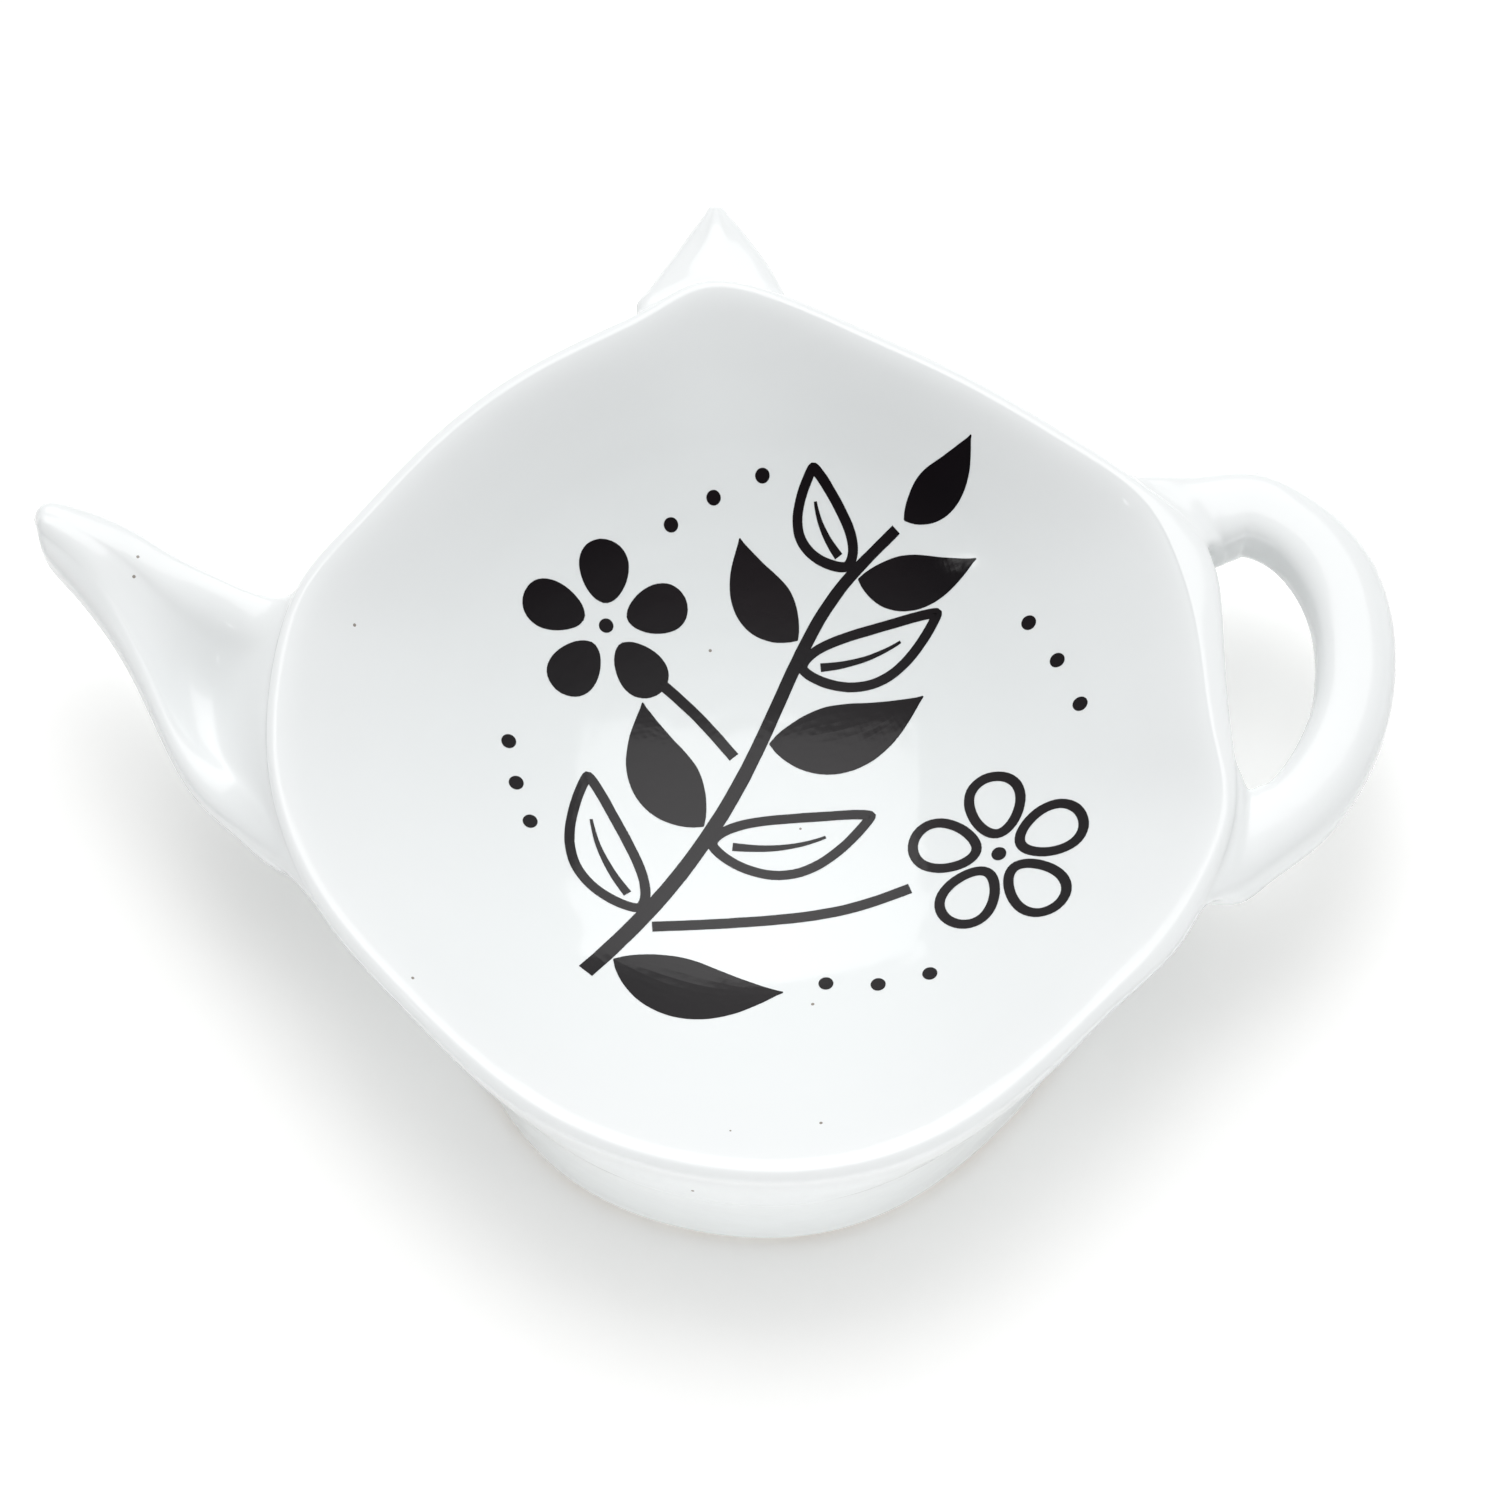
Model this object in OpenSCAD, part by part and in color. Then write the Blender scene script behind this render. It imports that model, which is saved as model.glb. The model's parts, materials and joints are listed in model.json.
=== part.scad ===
// Tea bag rest in the outline of a teapot. A shallow basin with a rounded rim stands on a closed foot wall
// that comes forward to the rim at the front. A spout, a loop handle and a lid knob are luted to the
// basin's outside, and a black sprig is fired onto its floor. Millimetres, Z up, origin under the middle.

/* [Basin] */
// Width of the basin, from crest to crest
rim_w = 82; // [74:0.5:92]
// Depth of the basin, from crest to crest
rim_d = 83.6; // [76:0.2:94]
// Height of the rim's crest above the table
rim_h = 17.5; // [15.5:0.5:20]
// Radius of the rim's outer rounding
rim_r = 0.8; // [0.6:0.1:1]
// Height of the outer edge, from the crest down to where the underside starts
edge_h = 2.6; // [2.2:0.1:3.2]
// How far the edge is set back in below the rim's rounding
edge_inset = 0.55; // [0.3:0.05:0.7]
// Height of the floor's middle above the table
floor_h = 5; // [4.6:0.1:6]
// Thickness of the floor's middle
floor_t = 3.2; // [2.6:0.1:3.6]
// Width of the soft fall from the crest into the basin
lip_w = 1.4; // [1:0.1:2]

/* [Foot] */
// Thickness of the foot wall
foot_t = 3; // [2.4:0.1:4]
// How far the foot wall's base is set in from its top
foot_inset = 0.4; // [0.2:0.1:0.8]
// How far the foot wall's top stands proud of the rim's edge at the front
foot_ledge = 0.1; // [0:0.1:0.4]
// How far below the edge the foot wall starts at the front
foot_drop = 4; // [3:0.5:5]
// Height of the unglazed ring that the rest stands on
base_h = 0.8; // [0.5:0.1:1.2]
// How far the unglazed ring is set in from the foot wall's faces
base_inset = 0.3; // [0.1:0.1:0.5]

/* [Spout] */
// Reach of the spout beyond the rim
spout_l = 23.2; // [18:0.2:28]
// How far the spout's tip stands above its root
spout_rise = 1.5; // [1:0.1:3]
// Thickness of the spout
spout_t = 5; // [4.4:0.1:5.6]
// Depth of the hollow between the spout's edge and the rim
spout_hollow = 2.4; // [1.6:0.1:2.6]
// Rounding of the spout's edges
spout_r = 1.7; // [1.2:0.1:2]

/* [Handle] */
// Reach of the handle beyond the rim
handle_l = 15.8; // [14:0.2:20]
// Width of the handle's bar, seen from above
handle_w = 7; // [6:0.1:8]
// Height of the handle's bar
handle_t = 6; // [5:0.1:6.4]
// How far the bar's top stays below the crest
handle_step = 1.3; // [1:0.1:2]
// How far the rim's rounding is drawn out where the handle joins
web_w = 2; // [1:0.1:2.4]

/* [Lid knob] */
// Reach of the knob beyond the rim
knob_l = 11.6; // [9:0.2:14]
// Thickness of the knob
knob_t = 4.2; // [3.6:0.1:4.6]
// How far the knob's point stands to the right of its root
knob_offset = 1; // [0:0.1:1.5]
// Rounding of the knob's edges
knob_r = 0.7; // [0.5:0.1:0.8]

/* [Fired print] */
// Radius of the round field that the sprig fills
print_r = 28; // [24:0.5:30]
// Width of the drawn lines
line_w = 1; // [0.8:0.1:1.2]
// Width of the stem
stem_w = 1.5; // [1.2:0.1:1.8]
// Length of the largest leaf
leaf_l = 15; // [12:0.5:17]
// Width of the largest leaf
leaf_w = 6.2; // [5:0.1:6.6]
// Length of a petal
petal_l = 5.6; // [5:0.1:6]
// Diameter of a dot
dot_d = 1.3; // [1:0.1:1.6]
// Thickness of the print
print_t = 0.15; // [0.1:0.01:0.25]
// Clearance between the glaze and the print
print_gap = 0.07; // [0.07:0.01:0.15]

/* [Hidden] */
glaze = [0.96, 0.97, 0.97];
clay = [0.9, 0.87, 0.82];
black = [0.06, 0.06, 0.07];

// The crest of the rim, anticlockwise from the right, as shares of half the width and half the depth
rim_shares = [[0.978, -0.084], [0.966, 0.132], [0.932, 0.316], [0.863, 0.455], [0.717, 0.579],
    [0.507, 0.727], [0.293, 0.849], [0.107, 0.947], [-0.054, 0.986], [-0.2, 0.914],
    [-0.415, 0.809], [-0.634, 0.653], [-0.815, 0.464], [-0.937, 0.316], [-0.995, 0.132],
    [-1.002, -0.108], [-0.912, -0.368], [-0.727, -0.608], [-0.488, -0.837], [-0.195, -0.973],
    [0.122, -1.001], [0.429, -0.895], [0.698, -0.675], [0.856, -0.518], [0.981, -0.287]];
// The foot wall's outside at the same places, as shares of the way from the middle to the rim
foot_shares = [0.68, 0.67, 0.68, 0.7, 0.71, 0.72, 0.72, 0.72, 0.72, 0.72, 0.72, 0.72, 0.71, 0.69,
    0.67, 0.69, 0.775, 0.89, 0.992, 1.025, 1.02, 0.985, 0.94, 0.82, 0.73];
// Where rings lie on the basin's inside, as shares of the way from the middle to the crest
inside_shares = [0.13, 0.26, 0.38, 0.5, 0.61, 0.71, 0.79, 0.86, 0.91, 0.945, 0.97, 0.987];
// The basin's inside is round up to the first share, and takes the rim's outline from there to the crest
round_share = 0.6;
round_r_share = 0.976;
bowl_power = 2.3;
columns = 3;
// How far the rim's rounding is drawn out towards the handle at the same places, as shares of web_w
web_shares = [0.33, 0.6, 1, 0.2, 0, 0, 0, 0, 0, 0, 0, 0, 0, 0, 0, 0, 0, 0, 0, 0, 0, 0, 0, 0.2, 0.08];
// Which of the columns round the rim carry the spout, the handle's two ends and the knob
spout_at = [39, 48];
handle_upper_at = [6, 10];
handle_lower_at = [70, 74];
knob_at = [21, 27];
root_rows = 3;

function mix(a, b, t) = a + (b - a) * t;
function ease(t) = let(u = min(max(t, 0), 1)) u * u * (3 - 2 * u);
function wrap(i, n) = (i % n + n) % n;
function unit(v) = v / norm(v);
function side(v) = [v.y, -v.x];

// A smooth closed curve through points: control points are settled first, then cubic pieces follow them
function settled(q, p, turns) = turns == 0 ? p : settled(q,
    [for (i = [0:len(q) - 1])
        (6 * q[i] - p[wrap(i - 1, len(q))] - p[wrap(i + 1, len(q))]) / 4], turns - 1);
function piece(a, b, c, d, t) = (pow(1 - t, 3) * a + (3 * pow(t, 3) - 6 * t * t + 4) * b
    + (-3 * pow(t, 3) + 3 * t * t + 3 * t + 1) * c + pow(t, 3) * d) / 6;
function closed_curve(q, steps) = let(p = settled(q, q, 12), n = len(q))
    [for (i = [0:n - 1], s = [0:steps - 1])
        piece(p[wrap(i - 1, n)], p[i], p[wrap(i + 1, n)], p[wrap(i + 2, n)], s / steps)];
// A smooth open curve through points, with its ends run straight on
function open_curve(q, steps) = let(n = len(q), e = concat([2 * q[0] - q[1]], q, [2 * q[n - 1] - q[n - 2]]),
        p = settled_open(e, e, 12))
    [for (i = [0:n - 2], s = [0:steps - (i == n - 2 ? 0 : 1)])
        piece(p[i], p[i + 1], p[i + 2], p[i + 3], s / steps)];
function settled_open(q, p, turns) = turns == 0 ? p : let(n = len(q),
        m = [for (i = [1:n - 2]) (6 * q[i] - p[i - 1] - p[i + 1]) / 4])
    settled_open(q, concat([2 * m[0] - m[1]], m, [2 * m[n - 3] - m[n - 4]]), turns - 1);

crest = closed_curve([for (s = rim_shares) [s.x * rim_w, s.y * rim_d] / 2], columns);
count = len(crest);
outward = [for (i = [0:count - 1]) unit(side(crest[wrap(i + 1, count)] - crest[wrap(i - 1, count)]))];
foot_share = closed_curve(foot_shares, columns);
round_reach = round_r_share * min(rim_w, rim_d) / 2;
web = [for (s = closed_curve(web_shares, columns)) web_w * max(s, 0)];

// Heights of the basin's inside and underside at a share of the way from the middle to the crest
lip_share = 2 * lip_w / rim_w;
bowl_rise = (rim_h - floor_h) / (1 - lip_share * bowl_power);
under_low = floor_h - floor_t;
under_rise = rim_h - edge_h - under_low;
function inside_h(t) = floor_h + bowl_rise * (pow(t, bowl_power)
    - bowl_power * lip_share * exp((t - 1) / lip_share));
function under_h(t) = under_low + under_rise * pow(t, bowl_power);
function rounded(l, t) = mix(round_reach, l, ease((t - round_share) / (1 - round_share)));
function inside_ring(t) = [for (c = crest)
    let(p = unit(c) * t * rounded(norm(c), t)) [p.x, p.y, inside_h(t)]];
function rim_ring(k, out, down) = [for (i = [0:count - 1])
    let(p = crest[i] + outward[i] * (out + web[i] * k)) [p.x, p.y, rim_h - down]];

// The foot wall's outline is round at the back and follows the rim at the front, where its top starts lower
front_from_share = 0.86;
foot_r = [for (i = [0:count - 1]) foot_share[i] * rounded(norm(crest[i]), foot_share[i])];
function front_at(i) = ease((foot_share[i] - front_from_share) / (1 - front_from_share));
function foot_at(i, out) = unit(crest[i]) * (foot_r[i] + out);

// The underside runs from the edge to the foot wall
front_inset_share = 0.1;
function edge_at(i) = crest[i]
    + outward[i] * (rim_r + web[i] - edge_inset * mix(1, front_inset_share, front_at(i)));
function ledge_at(i, k) = outward[i] * foot_ledge * front_at(i) * sin(180 * k);
function under_ring(k) = [for (i = [0:count - 1])
    let(p = mix(edge_at(i), foot_at(i, 0), k) + ledge_at(i, k), s = min(norm(p) / norm(crest[i]), 1))
    [p.x, p.y, k == 0 ? rim_h - edge_h : under_h(s) - foot_drop * front_at(i) * k * k]];
function foot_inner_share(i) = (foot_r[i] - foot_t) / norm(crest[i]);
function foot_inner_ring() = [for (i = [0:count - 1])
    let(p = foot_at(i, -foot_t)) [p.x, p.y, under_h(foot_inner_share(i))]];
function under_floor_ring(k) = [for (i = [0:count - 1])
    let(p = foot_at(i, -foot_t) * k) [p.x, p.y, under_h(foot_inner_share(i) * k)]];

shoulder_share = 0.71;
shoulder_fall_share = 0.29;
under_shares = [0.25, 0.5, 0.78, 1];
under_floor_shares = [0.72, 0.4];
basin_rings = concat(
    [for (t = inside_shares) inside_ring(t)],
    [rim_ring(0, 0, 0), rim_ring(shoulder_share, rim_r * shoulder_share, rim_r * shoulder_fall_share),
        rim_ring(1, rim_r, rim_r), under_ring(0)],
    [for (k = under_shares) under_ring(k)],
    [foot_inner_ring()],
    [for (k = under_floor_shares) under_floor_ring(k)]);
root_row = len(inside_shares) + 2;
foot_row = root_row + 1 + len(under_shares);

// Faces: a band lies between two rings of n points, and other is true where it is split the other way
function quad(a, b, c, d, other) = other ? [[a, b, d], [b, c, d]] : [[a, b, c], [a, c, d]];
function band(a, b, n, other = false) = [for (i = [0:n - 1])
    each quad(a + i, a + wrap(i + 1, n), b + wrap(i + 1, n), b + i, other)];
function bands(rings, n, first) = [for (j = [0:rings - 2]) each band(first + j * n, first + (j + 1) * n, n)];
function flat(rings) = [for (r = rings) each r];

// A closed skin over rings, with a point at each end
module skin(rings, first, last) {
    n = len(rings[0]);
    end = 1 + len(rings) * n;
    polyhedron(concat([first], flat(rings), [last]), concat(
        [for (i = [0:n - 1]) [0, 1 + wrap(i + 1, n), 1 + i]],
        bands(len(rings), n, 1),
        [for (i = [0:n - 1]) [end - n + i, end - n + wrap(i + 1, n), end]]));
}

// A closed skin over rings whose last ring joins its first, split the other way there if mated is true
module hoop(rings, mated) {
    n = len(rings[0]);
    polyhedron(flat(rings), concat(bands(len(rings), n, 0), band((len(rings) - 1) * n, 0, n, mated)));
}

// A root is the patch of the basin's outside that a limb is luted to, in rows, and its border is a ring
function root(at) = [for (r = [root_row:root_row + root_rows])
    [for (c = [at[0]:at[1]]) basin_rings[r][wrap(c, count)]]];
function turned(g) = [for (row = g) [for (i = [len(row) - 1:-1:0]) row[i]]];
function border(g) = let(rows = len(g) - 1, cols = len(g[0]) - 1) concat(g[0],
    [for (r = [1:rows - 1]) g[r][cols]], [for (c = [cols:-1:0]) g[rows][c]],
    [for (r = [rows - 1:-1:1]) g[r][0]]);
function inner(g) = [for (r = [1:len(g) - 2], c = [1:len(g[0]) - 2]) g[r][c]];
function place(r, c, rows, cols, ring, rest) = r == 0 ? ring + c : c == cols ? ring + cols + r
    : r == rows ? ring + 2 * cols + rows - c : c == 0 ? ring + 2 * (cols + rows) - r
    : rest + (r - 1) * (cols - 1) + c - 1;
function patch(rows, cols, ring, rest, far) = [for (r = [0:rows - 1], c = [0:cols - 1])
    let(p = function(y, x) place(r + y, c + x, rows, cols, ring, rest))
    each far ? quad(p(0, 0), p(0, 1), p(1, 1), p(1, 0), true)
        : [[p(0, 0), p(1, 1), p(0, 1)], [p(0, 0), p(1, 0), p(1, 1)]]];

// A limb grows from its root through rings to a point a little past the last
tip_past_share = 0.2;
function centre(ring) = [for (p = ring) 1] * ring / len(ring);
function tip_of(rings) = let(n = len(rings))
    mix(centre(rings[n - 2]), centre(rings[n - 1]), 1 + tip_past_share);
module limb(g, rings) {
    n = len(rings[0]);
    tip = tip_of(rings);
    all = concat([border(g)], rings);
    rest = len(all) * n;
    end = rest + len(inner(g));
    polyhedron(concat(flat(all), inner(g), [tip]), concat(
        patch(len(g) - 1, len(g[0]) - 1, 0, rest, false),
        bands(len(all), n, 0),
        [for (i = [0:n - 1]) [end, rest - n + i, rest - n + wrap(i + 1, n)]]));
}

// A bow runs from one root through rings to another root
module bow(g, rings, far) {
    n = len(rings[0]);
    all = concat([border(g)], rings, [border(far)]);
    rest = len(all) * n;
    polyhedron(concat(flat(all), inner(g), inner(far)), concat(
        patch(len(g) - 1, len(g[0]) - 1, 0, rest, false),
        bands(len(all), n, 0),
        patch(len(far) - 1, len(far[0]) - 1, rest - n, rest + len(inner(g)), true)));
}

// One ring of a spout or knob, across from edge u to edge v, bowed like its root's top row by bend.
// Its top is at heights hu and hv with a hollow between them, and its underside is at height base.
side_shares = [0.32, 0.66];
base_inset_share = 1.1;
hollow_power = 1.5;
function section(top, u, v, bend, hu, hv, hollow, base, r) =
    let(n = len(top) - 1, a = [top[0].x, top[0].y], b = [top[n].x, top[n].y], d = unit(v - u),
        bowed = function(i, inset) mix(u + d * inset, v - d * inset, i / n)
            + bend * ([top[i].x, top[i].y] - mix(a, b, i / n)),
        at = function(p, h) [p.x, p.y, h])
    concat(
        [for (i = [0:n]) at(bowed(i, r), mix(hu, hv, i / n) - hollow * pow(sin(180 * i / n), hollow_power))],
        [for (s = side_shares) at(v, mix(hv, base, s))],
        [for (i = [n:-1:0]) at(bowed(i, base_inset_share * r), base)],
        [for (i = [len(side_shares) - 1:-1:0]) at(u, mix(hu, base, side_shares[i]))]);

// The spout: upper edge, lower edge, bend, heights of both edges, hollow, thickness and rounding as shares
spout_root = root(spout_at);
spout_shares = [
    [0.08, -0.01, 0.14, 0.145, 0.85, -0.15, -0.35, 0.6, 1.08, 1],
    [0.2, 0.02, 0.29, 0.26, 0.6, -0.2, -0.75, 1, 1.08, 1],
    [0.34, 0.08, 0.45, 0.39, 0.38, -0.2, -0.85, 0.85, 1.06, 1],
    [0.48, 0.14, 0.57, 0.57, 0.2, 0.1, -0.65, 0.45, 1.06, 1],
    [0.61, 0.21, 0.67, 0.75, 0.1, 0.4, -0.35, 0.15, 1.06, 1],
    [0.73, 0.26, 0.775, 0.9, 0, 0.7, 0.1, -0.1, 1.03, 1],
    [0.84, 0.29, 0.895, 1.03, 0, 0.9, 0.5, -0.2, 0.98, 0.8],
    [0.935, 0.3, 0.99, 1.12, 0, 1, 0.8, -0.25, 0.88, 0.5],
    [0.99, 0.265, 1.02, 1.18, 0, 0.6, 0.45, -0.1, 0.56, 0.3]];
spout_upper = spout_root[0][0];
spout_lower = spout_root[0][len(spout_root[0]) - 1];
spout_across = spout_upper.y - spout_lower.y;
spout_rings = [for (s = spout_shares) let(h = spout_upper.z)
    section(spout_root[0],
        [spout_upper.x - s[0] * spout_l, spout_upper.y + s[1] * spout_across],
        [spout_lower.x - s[2] * spout_l, spout_lower.y + s[3] * spout_across],
        s[4], h + s[5] * spout_rise, h + s[6] * spout_rise, s[7] * spout_hollow,
        h + s[5] * spout_rise - s[8] * spout_t, s[9] * spout_r)];

// The knob: way to the point, half width, bend, height, crown, thickness and rounding as shares
knob_root = root(knob_at);
knob_shares = [[0.07, 1, 0.9, 0.03, 0.1, 1.05, 1], [0.19, 0.9, 0.75, 0.1, 0.3, 1.05, 1],
    [0.38, 0.73, 0.5, 0.2, 0.6, 1.03, 1], [0.57, 0.53, 0.25, 0.28, 0.8, 0.98, 1],
    [0.74, 0.35, 0.1, 0.34, 0.8, 0.9, 1], [0.89, 0.165, 0, 0.42, 0.4, 0.7, 0.5],
    [0.975, 0.08, 0, 0.55, 0.15, 0.4, 0.3]];
knob_crown = 0.6;
knob_fall = 4.2;
knob_right = knob_root[0][0];
knob_left = knob_root[0][len(knob_root[0]) - 1];
knob_across = knob_right.x - knob_left.x;
knob_rings = [for (s = knob_shares)
    let(x = (knob_left.x + knob_right.x) / 2 + knob_offset * (1 - pow(1 - s[0], 3)),
        y = (knob_left.y + knob_right.y) / 2 + s[0] * knob_l, h = knob_right.z - s[3] * knob_fall)
    section(knob_root[0], [x + s[1] * knob_across / 2, y], [x - s[1] * knob_across / 2, y],
        s[2], h, h, -s[4] * knob_crown, h - s[5] * knob_t, s[6] * knob_r)];

// The handle: places of the bar's centre line between its roots, its width and its turn in degrees
handle_upper = root(handle_upper_at);
handle_lower = root(handle_lower_at);
handle_shares = [[-0.024, 1.021, 1.073, 16], [0.165, 1.026, 1.024, -2], [0.347, 1.024, 0.986, 0],
    [0.624, 0.955, 0.943, 0], [0.86, 0.828, 0.993, 0], [0.968, 0.678, 0.993, 0],
    [0.969, 0.523, 0.979, 0], [0.884, 0.361, 0.95, 0], [0.709, 0.216, 0.943, 0],
    [0.514, 0.113, 0.943, 0], [0.317, 0.05, 1.011, -16], [0.065, -0.007, 1.383, -36]];
bar_shares = [[-0.72, 0.82], [-0.38, 0.97], [0, 1], [0.38, 0.97], [0.72, 0.82], [1, 0.32], [1, -0.32],
    [0.72, -0.82], [0.38, -0.97], [0, -1], [-0.38, -0.97], [-0.72, -0.82], [-1, -0.32], [-1, 0.32]];
function middle(row) = (row[0] + row[len(row) - 1]) / 2;
rim_right = max([for (c = crest) c.x]) + rim_r;
bar_middle = rim_h - handle_step - handle_t / 2;
bar_line = open_curve([for (s = handle_shares)
    [rim_right + s[0] * (handle_l - handle_w / 2),
        mix(middle(handle_lower[0]).y, middle(handle_upper[0]).y, s[1]), s[2] * handle_w, s[3]]], 2);
handle_rings = [for (i = [0:len(bar_line) - 1])
    let(a = bar_line[max(i - 1, 0)], b = bar_line[min(i + 1, len(bar_line) - 1)], p = bar_line[i],
        out = ahead(atan2(b.y - a.y, b.x - a.x) + 90 + p[3]))
    [for (s = bar_shares) [p.x + out.x * s.x * p.z / 2, p.y + out.y * s.x * p.z / 2,
        bar_middle + s.y * handle_t / 2]]];

// The foot wall runs down from the underside, leans in to its base and comes back up inside
foot_middle_share = 0.2;
function foot_ring_at(out, h) = [for (i = [0:count - 1]) let(p = foot_at(i, out)) [p.x, p.y, h]];
foot_rings = [basin_rings[foot_row],
    foot_ring_at(-foot_inset * (1 - foot_middle_share), base_h + (rim_h - base_h) * foot_middle_share),
    foot_ring_at(-foot_inset, base_h),
    foot_ring_at(-foot_t, base_h),
    basin_rings[foot_row + 1]];

// The origin lies under the middle of the whole outline
outline = concat(flat(basin_rings), flat(foot_rings), flat(handle_rings), flat(spout_rings),
    flat(knob_rings), [tip_of(spout_rings), tip_of(knob_rings)]);
low = [min([for (p = outline) p.x]), min([for (p = outline) p.y])];
high = [max([for (p = outline) p.x]), max([for (p = outline) p.y])];
module seated() translate([-(low.x + high.x) / 2, -(low.y + high.y) / 2, 0]) children();

// The height of the basin's inside under a point of the print
function turn_of(p) = (atan2(p.y, p.x) - atan2(crest[0].y, crest[0].x) + 720) % 360;
reach_table = concat([for (c = crest) [turn_of(c), norm(c)]], [[360, norm(crest[0])]]);
function share_of(r, l, t, turns) = turns == 0 ? t : share_of(r, l, r / rounded(l, t), turns - 1);
function floor_at(p) = let(l = lookup(turn_of(p), reach_table))
    inside_h(share_of(norm(p), l, norm(p) / round_reach, 4));
print_middle_share = [0.14, 0.02];
function field(s) = (s + print_middle_share) * print_r;

// A ribbon of the print: four points at each place of a line, laid on the floor
function ribbon_ring(p, d, w) = let(l = p + side(d) * w / 2, r = p - side(d) * w / 2,
        hl = floor_at(l) + print_gap, hr = floor_at(r) + print_gap)
    [[l.x, l.y, hl + print_t], [r.x, r.y, hr + print_t], [r.x, r.y, hr], [l.x, l.y, hl]];
module ribbon(line, widths) {
    k = len(line) - 1;
    rings = [for (i = [0:k])
        ribbon_ring(line[i], unit(line[min(i + 1, k)] - line[max(i - 1, 0)]), widths[i])];
    polyhedron(flat(rings), concat([[0, 2, 1], [0, 3, 2]], bands(k + 1, 4, 0),
        [[4 * k, 4 * k + 1, 4 * k + 2], [4 * k, 4 * k + 2, 4 * k + 3]]));
}
module loop(line, w) {
    k = len(line);
    hoop([for (i = [0:k - 1]) ribbon_ring(line[i],
        unit(line[wrap(i + 1, k)] - line[wrap(i - 1, k)]), w)], false);
}

// The stem and its twigs, as shares of the field's radius
stem_shares = [[-0.68, -0.76], [-0.42, -0.46], [-0.18, -0.1], [0, 0.26], [0.16, 0.52], [0.36, 0.7]];
twig_shares = [[[-0.19, 0], [-0.3, 0.14], [-0.42, 0.26]],
    [[-0.47, -0.59], [-0.2, -0.58], [0.1, -0.56], [0.34, -0.5]]];
stem_line = open_curve([for (s = stem_shares) field(s)], 4);
function stem_at(s) = let(x = s * (len(stem_line) - 1), i = min(floor(x), len(stem_line) - 2))
    mix(stem_line[i], stem_line[i + 1], x - i);
near_share = 0.04;
function heading(s) = let(d = stem_at(min(s + near_share, 1)) - stem_at(max(s - near_share, 0)))
    atan2(d.y, d.x);

// Leaves: place along the stem, turn off it in degrees, then length, width and bend as shares
solid_leaf_shares = [[0.04, -62, 1, 1, 0.1], [0.31, 56, 0.86, 1, -0.1], [0.47, -50, 0.95, 1.05, 0.1],
    [0.66, 56, 0.7, 0.85, -0.1], [0.84, -44, 0.7, 0.8, 0.1], [1, 4, 0.55, 0.7, 0.08]];
drawn_leaf_shares = [[0.14, 58, 0.9, 1, -0.1], [0.29, -48, 0.95, 1.05, 0.1], [0.61, -46, 0.85, 0.95, 0.1],
    [0.85, 62, 0.6, 0.85, -0.1]];
leaf_gap = 1;
leaf_steps = 8;
outline_steps = 20;
vein_shares = [0.12, 0.25, 0.38, 0.51, 0.66];
tip_share = 0.3;
function ahead(a) = [cos(a), sin(a)];
function leaf_point(leaf, s) = let(a = heading(leaf[0]) + leaf[1])
    stem_at(leaf[0]) + ahead(a) * (leaf_gap + leaf_l * leaf[2] * s)
        - ahead(a + 90) * leaf_l * leaf[2] * leaf[4] * sin(180 * s);
fullest_share = 0.78;
outline_full_share = 0.7;
function leaf_swell(s) = max(sin(180 * pow(s, fullest_share)), 0);
module solid_leaf(leaf) {
    ribbon([for (i = [0:leaf_steps]) leaf_point(leaf, i / leaf_steps)],
        [for (i = [0:leaf_steps]) max(leaf_w * leaf[3] * leaf_swell(i / leaf_steps), line_w * tip_share)]);
}
module drawn_leaf(leaf) {
    side_way = ahead(heading(leaf[0]) + leaf[1] + 90);
    loop([for (i = [0:outline_steps - 1])
        let(turn = 360 * i / outline_steps, s = (1 - cos(turn)) / 2)
        leaf_point(leaf, s) - side_way * sign(sin(turn)) * (leaf_w * leaf[3] - line_w) / 2
            * pow(leaf_swell(s), outline_full_share)], line_w);
    ribbon([for (s = vein_shares) leaf_point(leaf, s)], [for (s = vein_shares) line_w * (1 - s)]);
}

// Blossoms: five petals round a dot, filled on the first and drawn on the others
blossom_shares = [[-0.58, 0.44], [0.62, -0.42]];
petal_w_share = 0.78;
petal_out_share = 0.86;
petal_taper_share = 0.2;
petal_steps = 12;
function petal_point(p, a, t) = p + ahead(a) * petal_l * (petal_out_share + cos(t) / 2)
    + ahead(a + 90) * petal_l * petal_w_share / 2 * sin(t) * (1 + petal_taper_share * cos(t));
module blossom(p, filled) {
    for (k = [0:4], a = 90 + 72 * k)
        if (filled) ribbon([for (i = [0:leaf_steps]) petal_point(p, a, 180 - 180 * i / leaf_steps) / 2
                + petal_point(p, a, 180 + 180 * i / leaf_steps) / 2],
            [for (i = [0:leaf_steps]) let(t = 180 - 180 * i / leaf_steps)
                max(norm(petal_point(p, a, t) - petal_point(p, a, -t)), line_w)]);
        else loop([for (i = [0:petal_steps - 1]) petal_point(p, a, 360 * i / petal_steps)], line_w);
}

dot_shares = [[-0.9, 0.04], [-0.88, -0.1], [-0.84, -0.23], [-0.22, 0.84], [-0.06, 0.9], [-0.36, 0.76],
    [0.84, 0.2], [0.9, 0.04], [0.76, 0.34], [0.06, -0.82], [0.22, -0.84], [0.38, -0.82]];
dot_steps = 6;
module dot(p) {
    ribbon([for (i = [0:dot_steps]) p - [dot_d / 2 * cos(180 * i / dot_steps), 0]],
        [for (i = [0:dot_steps]) max(dot_d * sin(180 * i / dot_steps), dot_d * tip_share)]);
}

module basin() {
    color(glaze) seated() skin(basin_rings, [0, 0, inside_h(0)], [0, 0, under_h(0)]);
}

module foot_wall() {
    color(glaze) seated() hoop(foot_rings, true);
}

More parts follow.
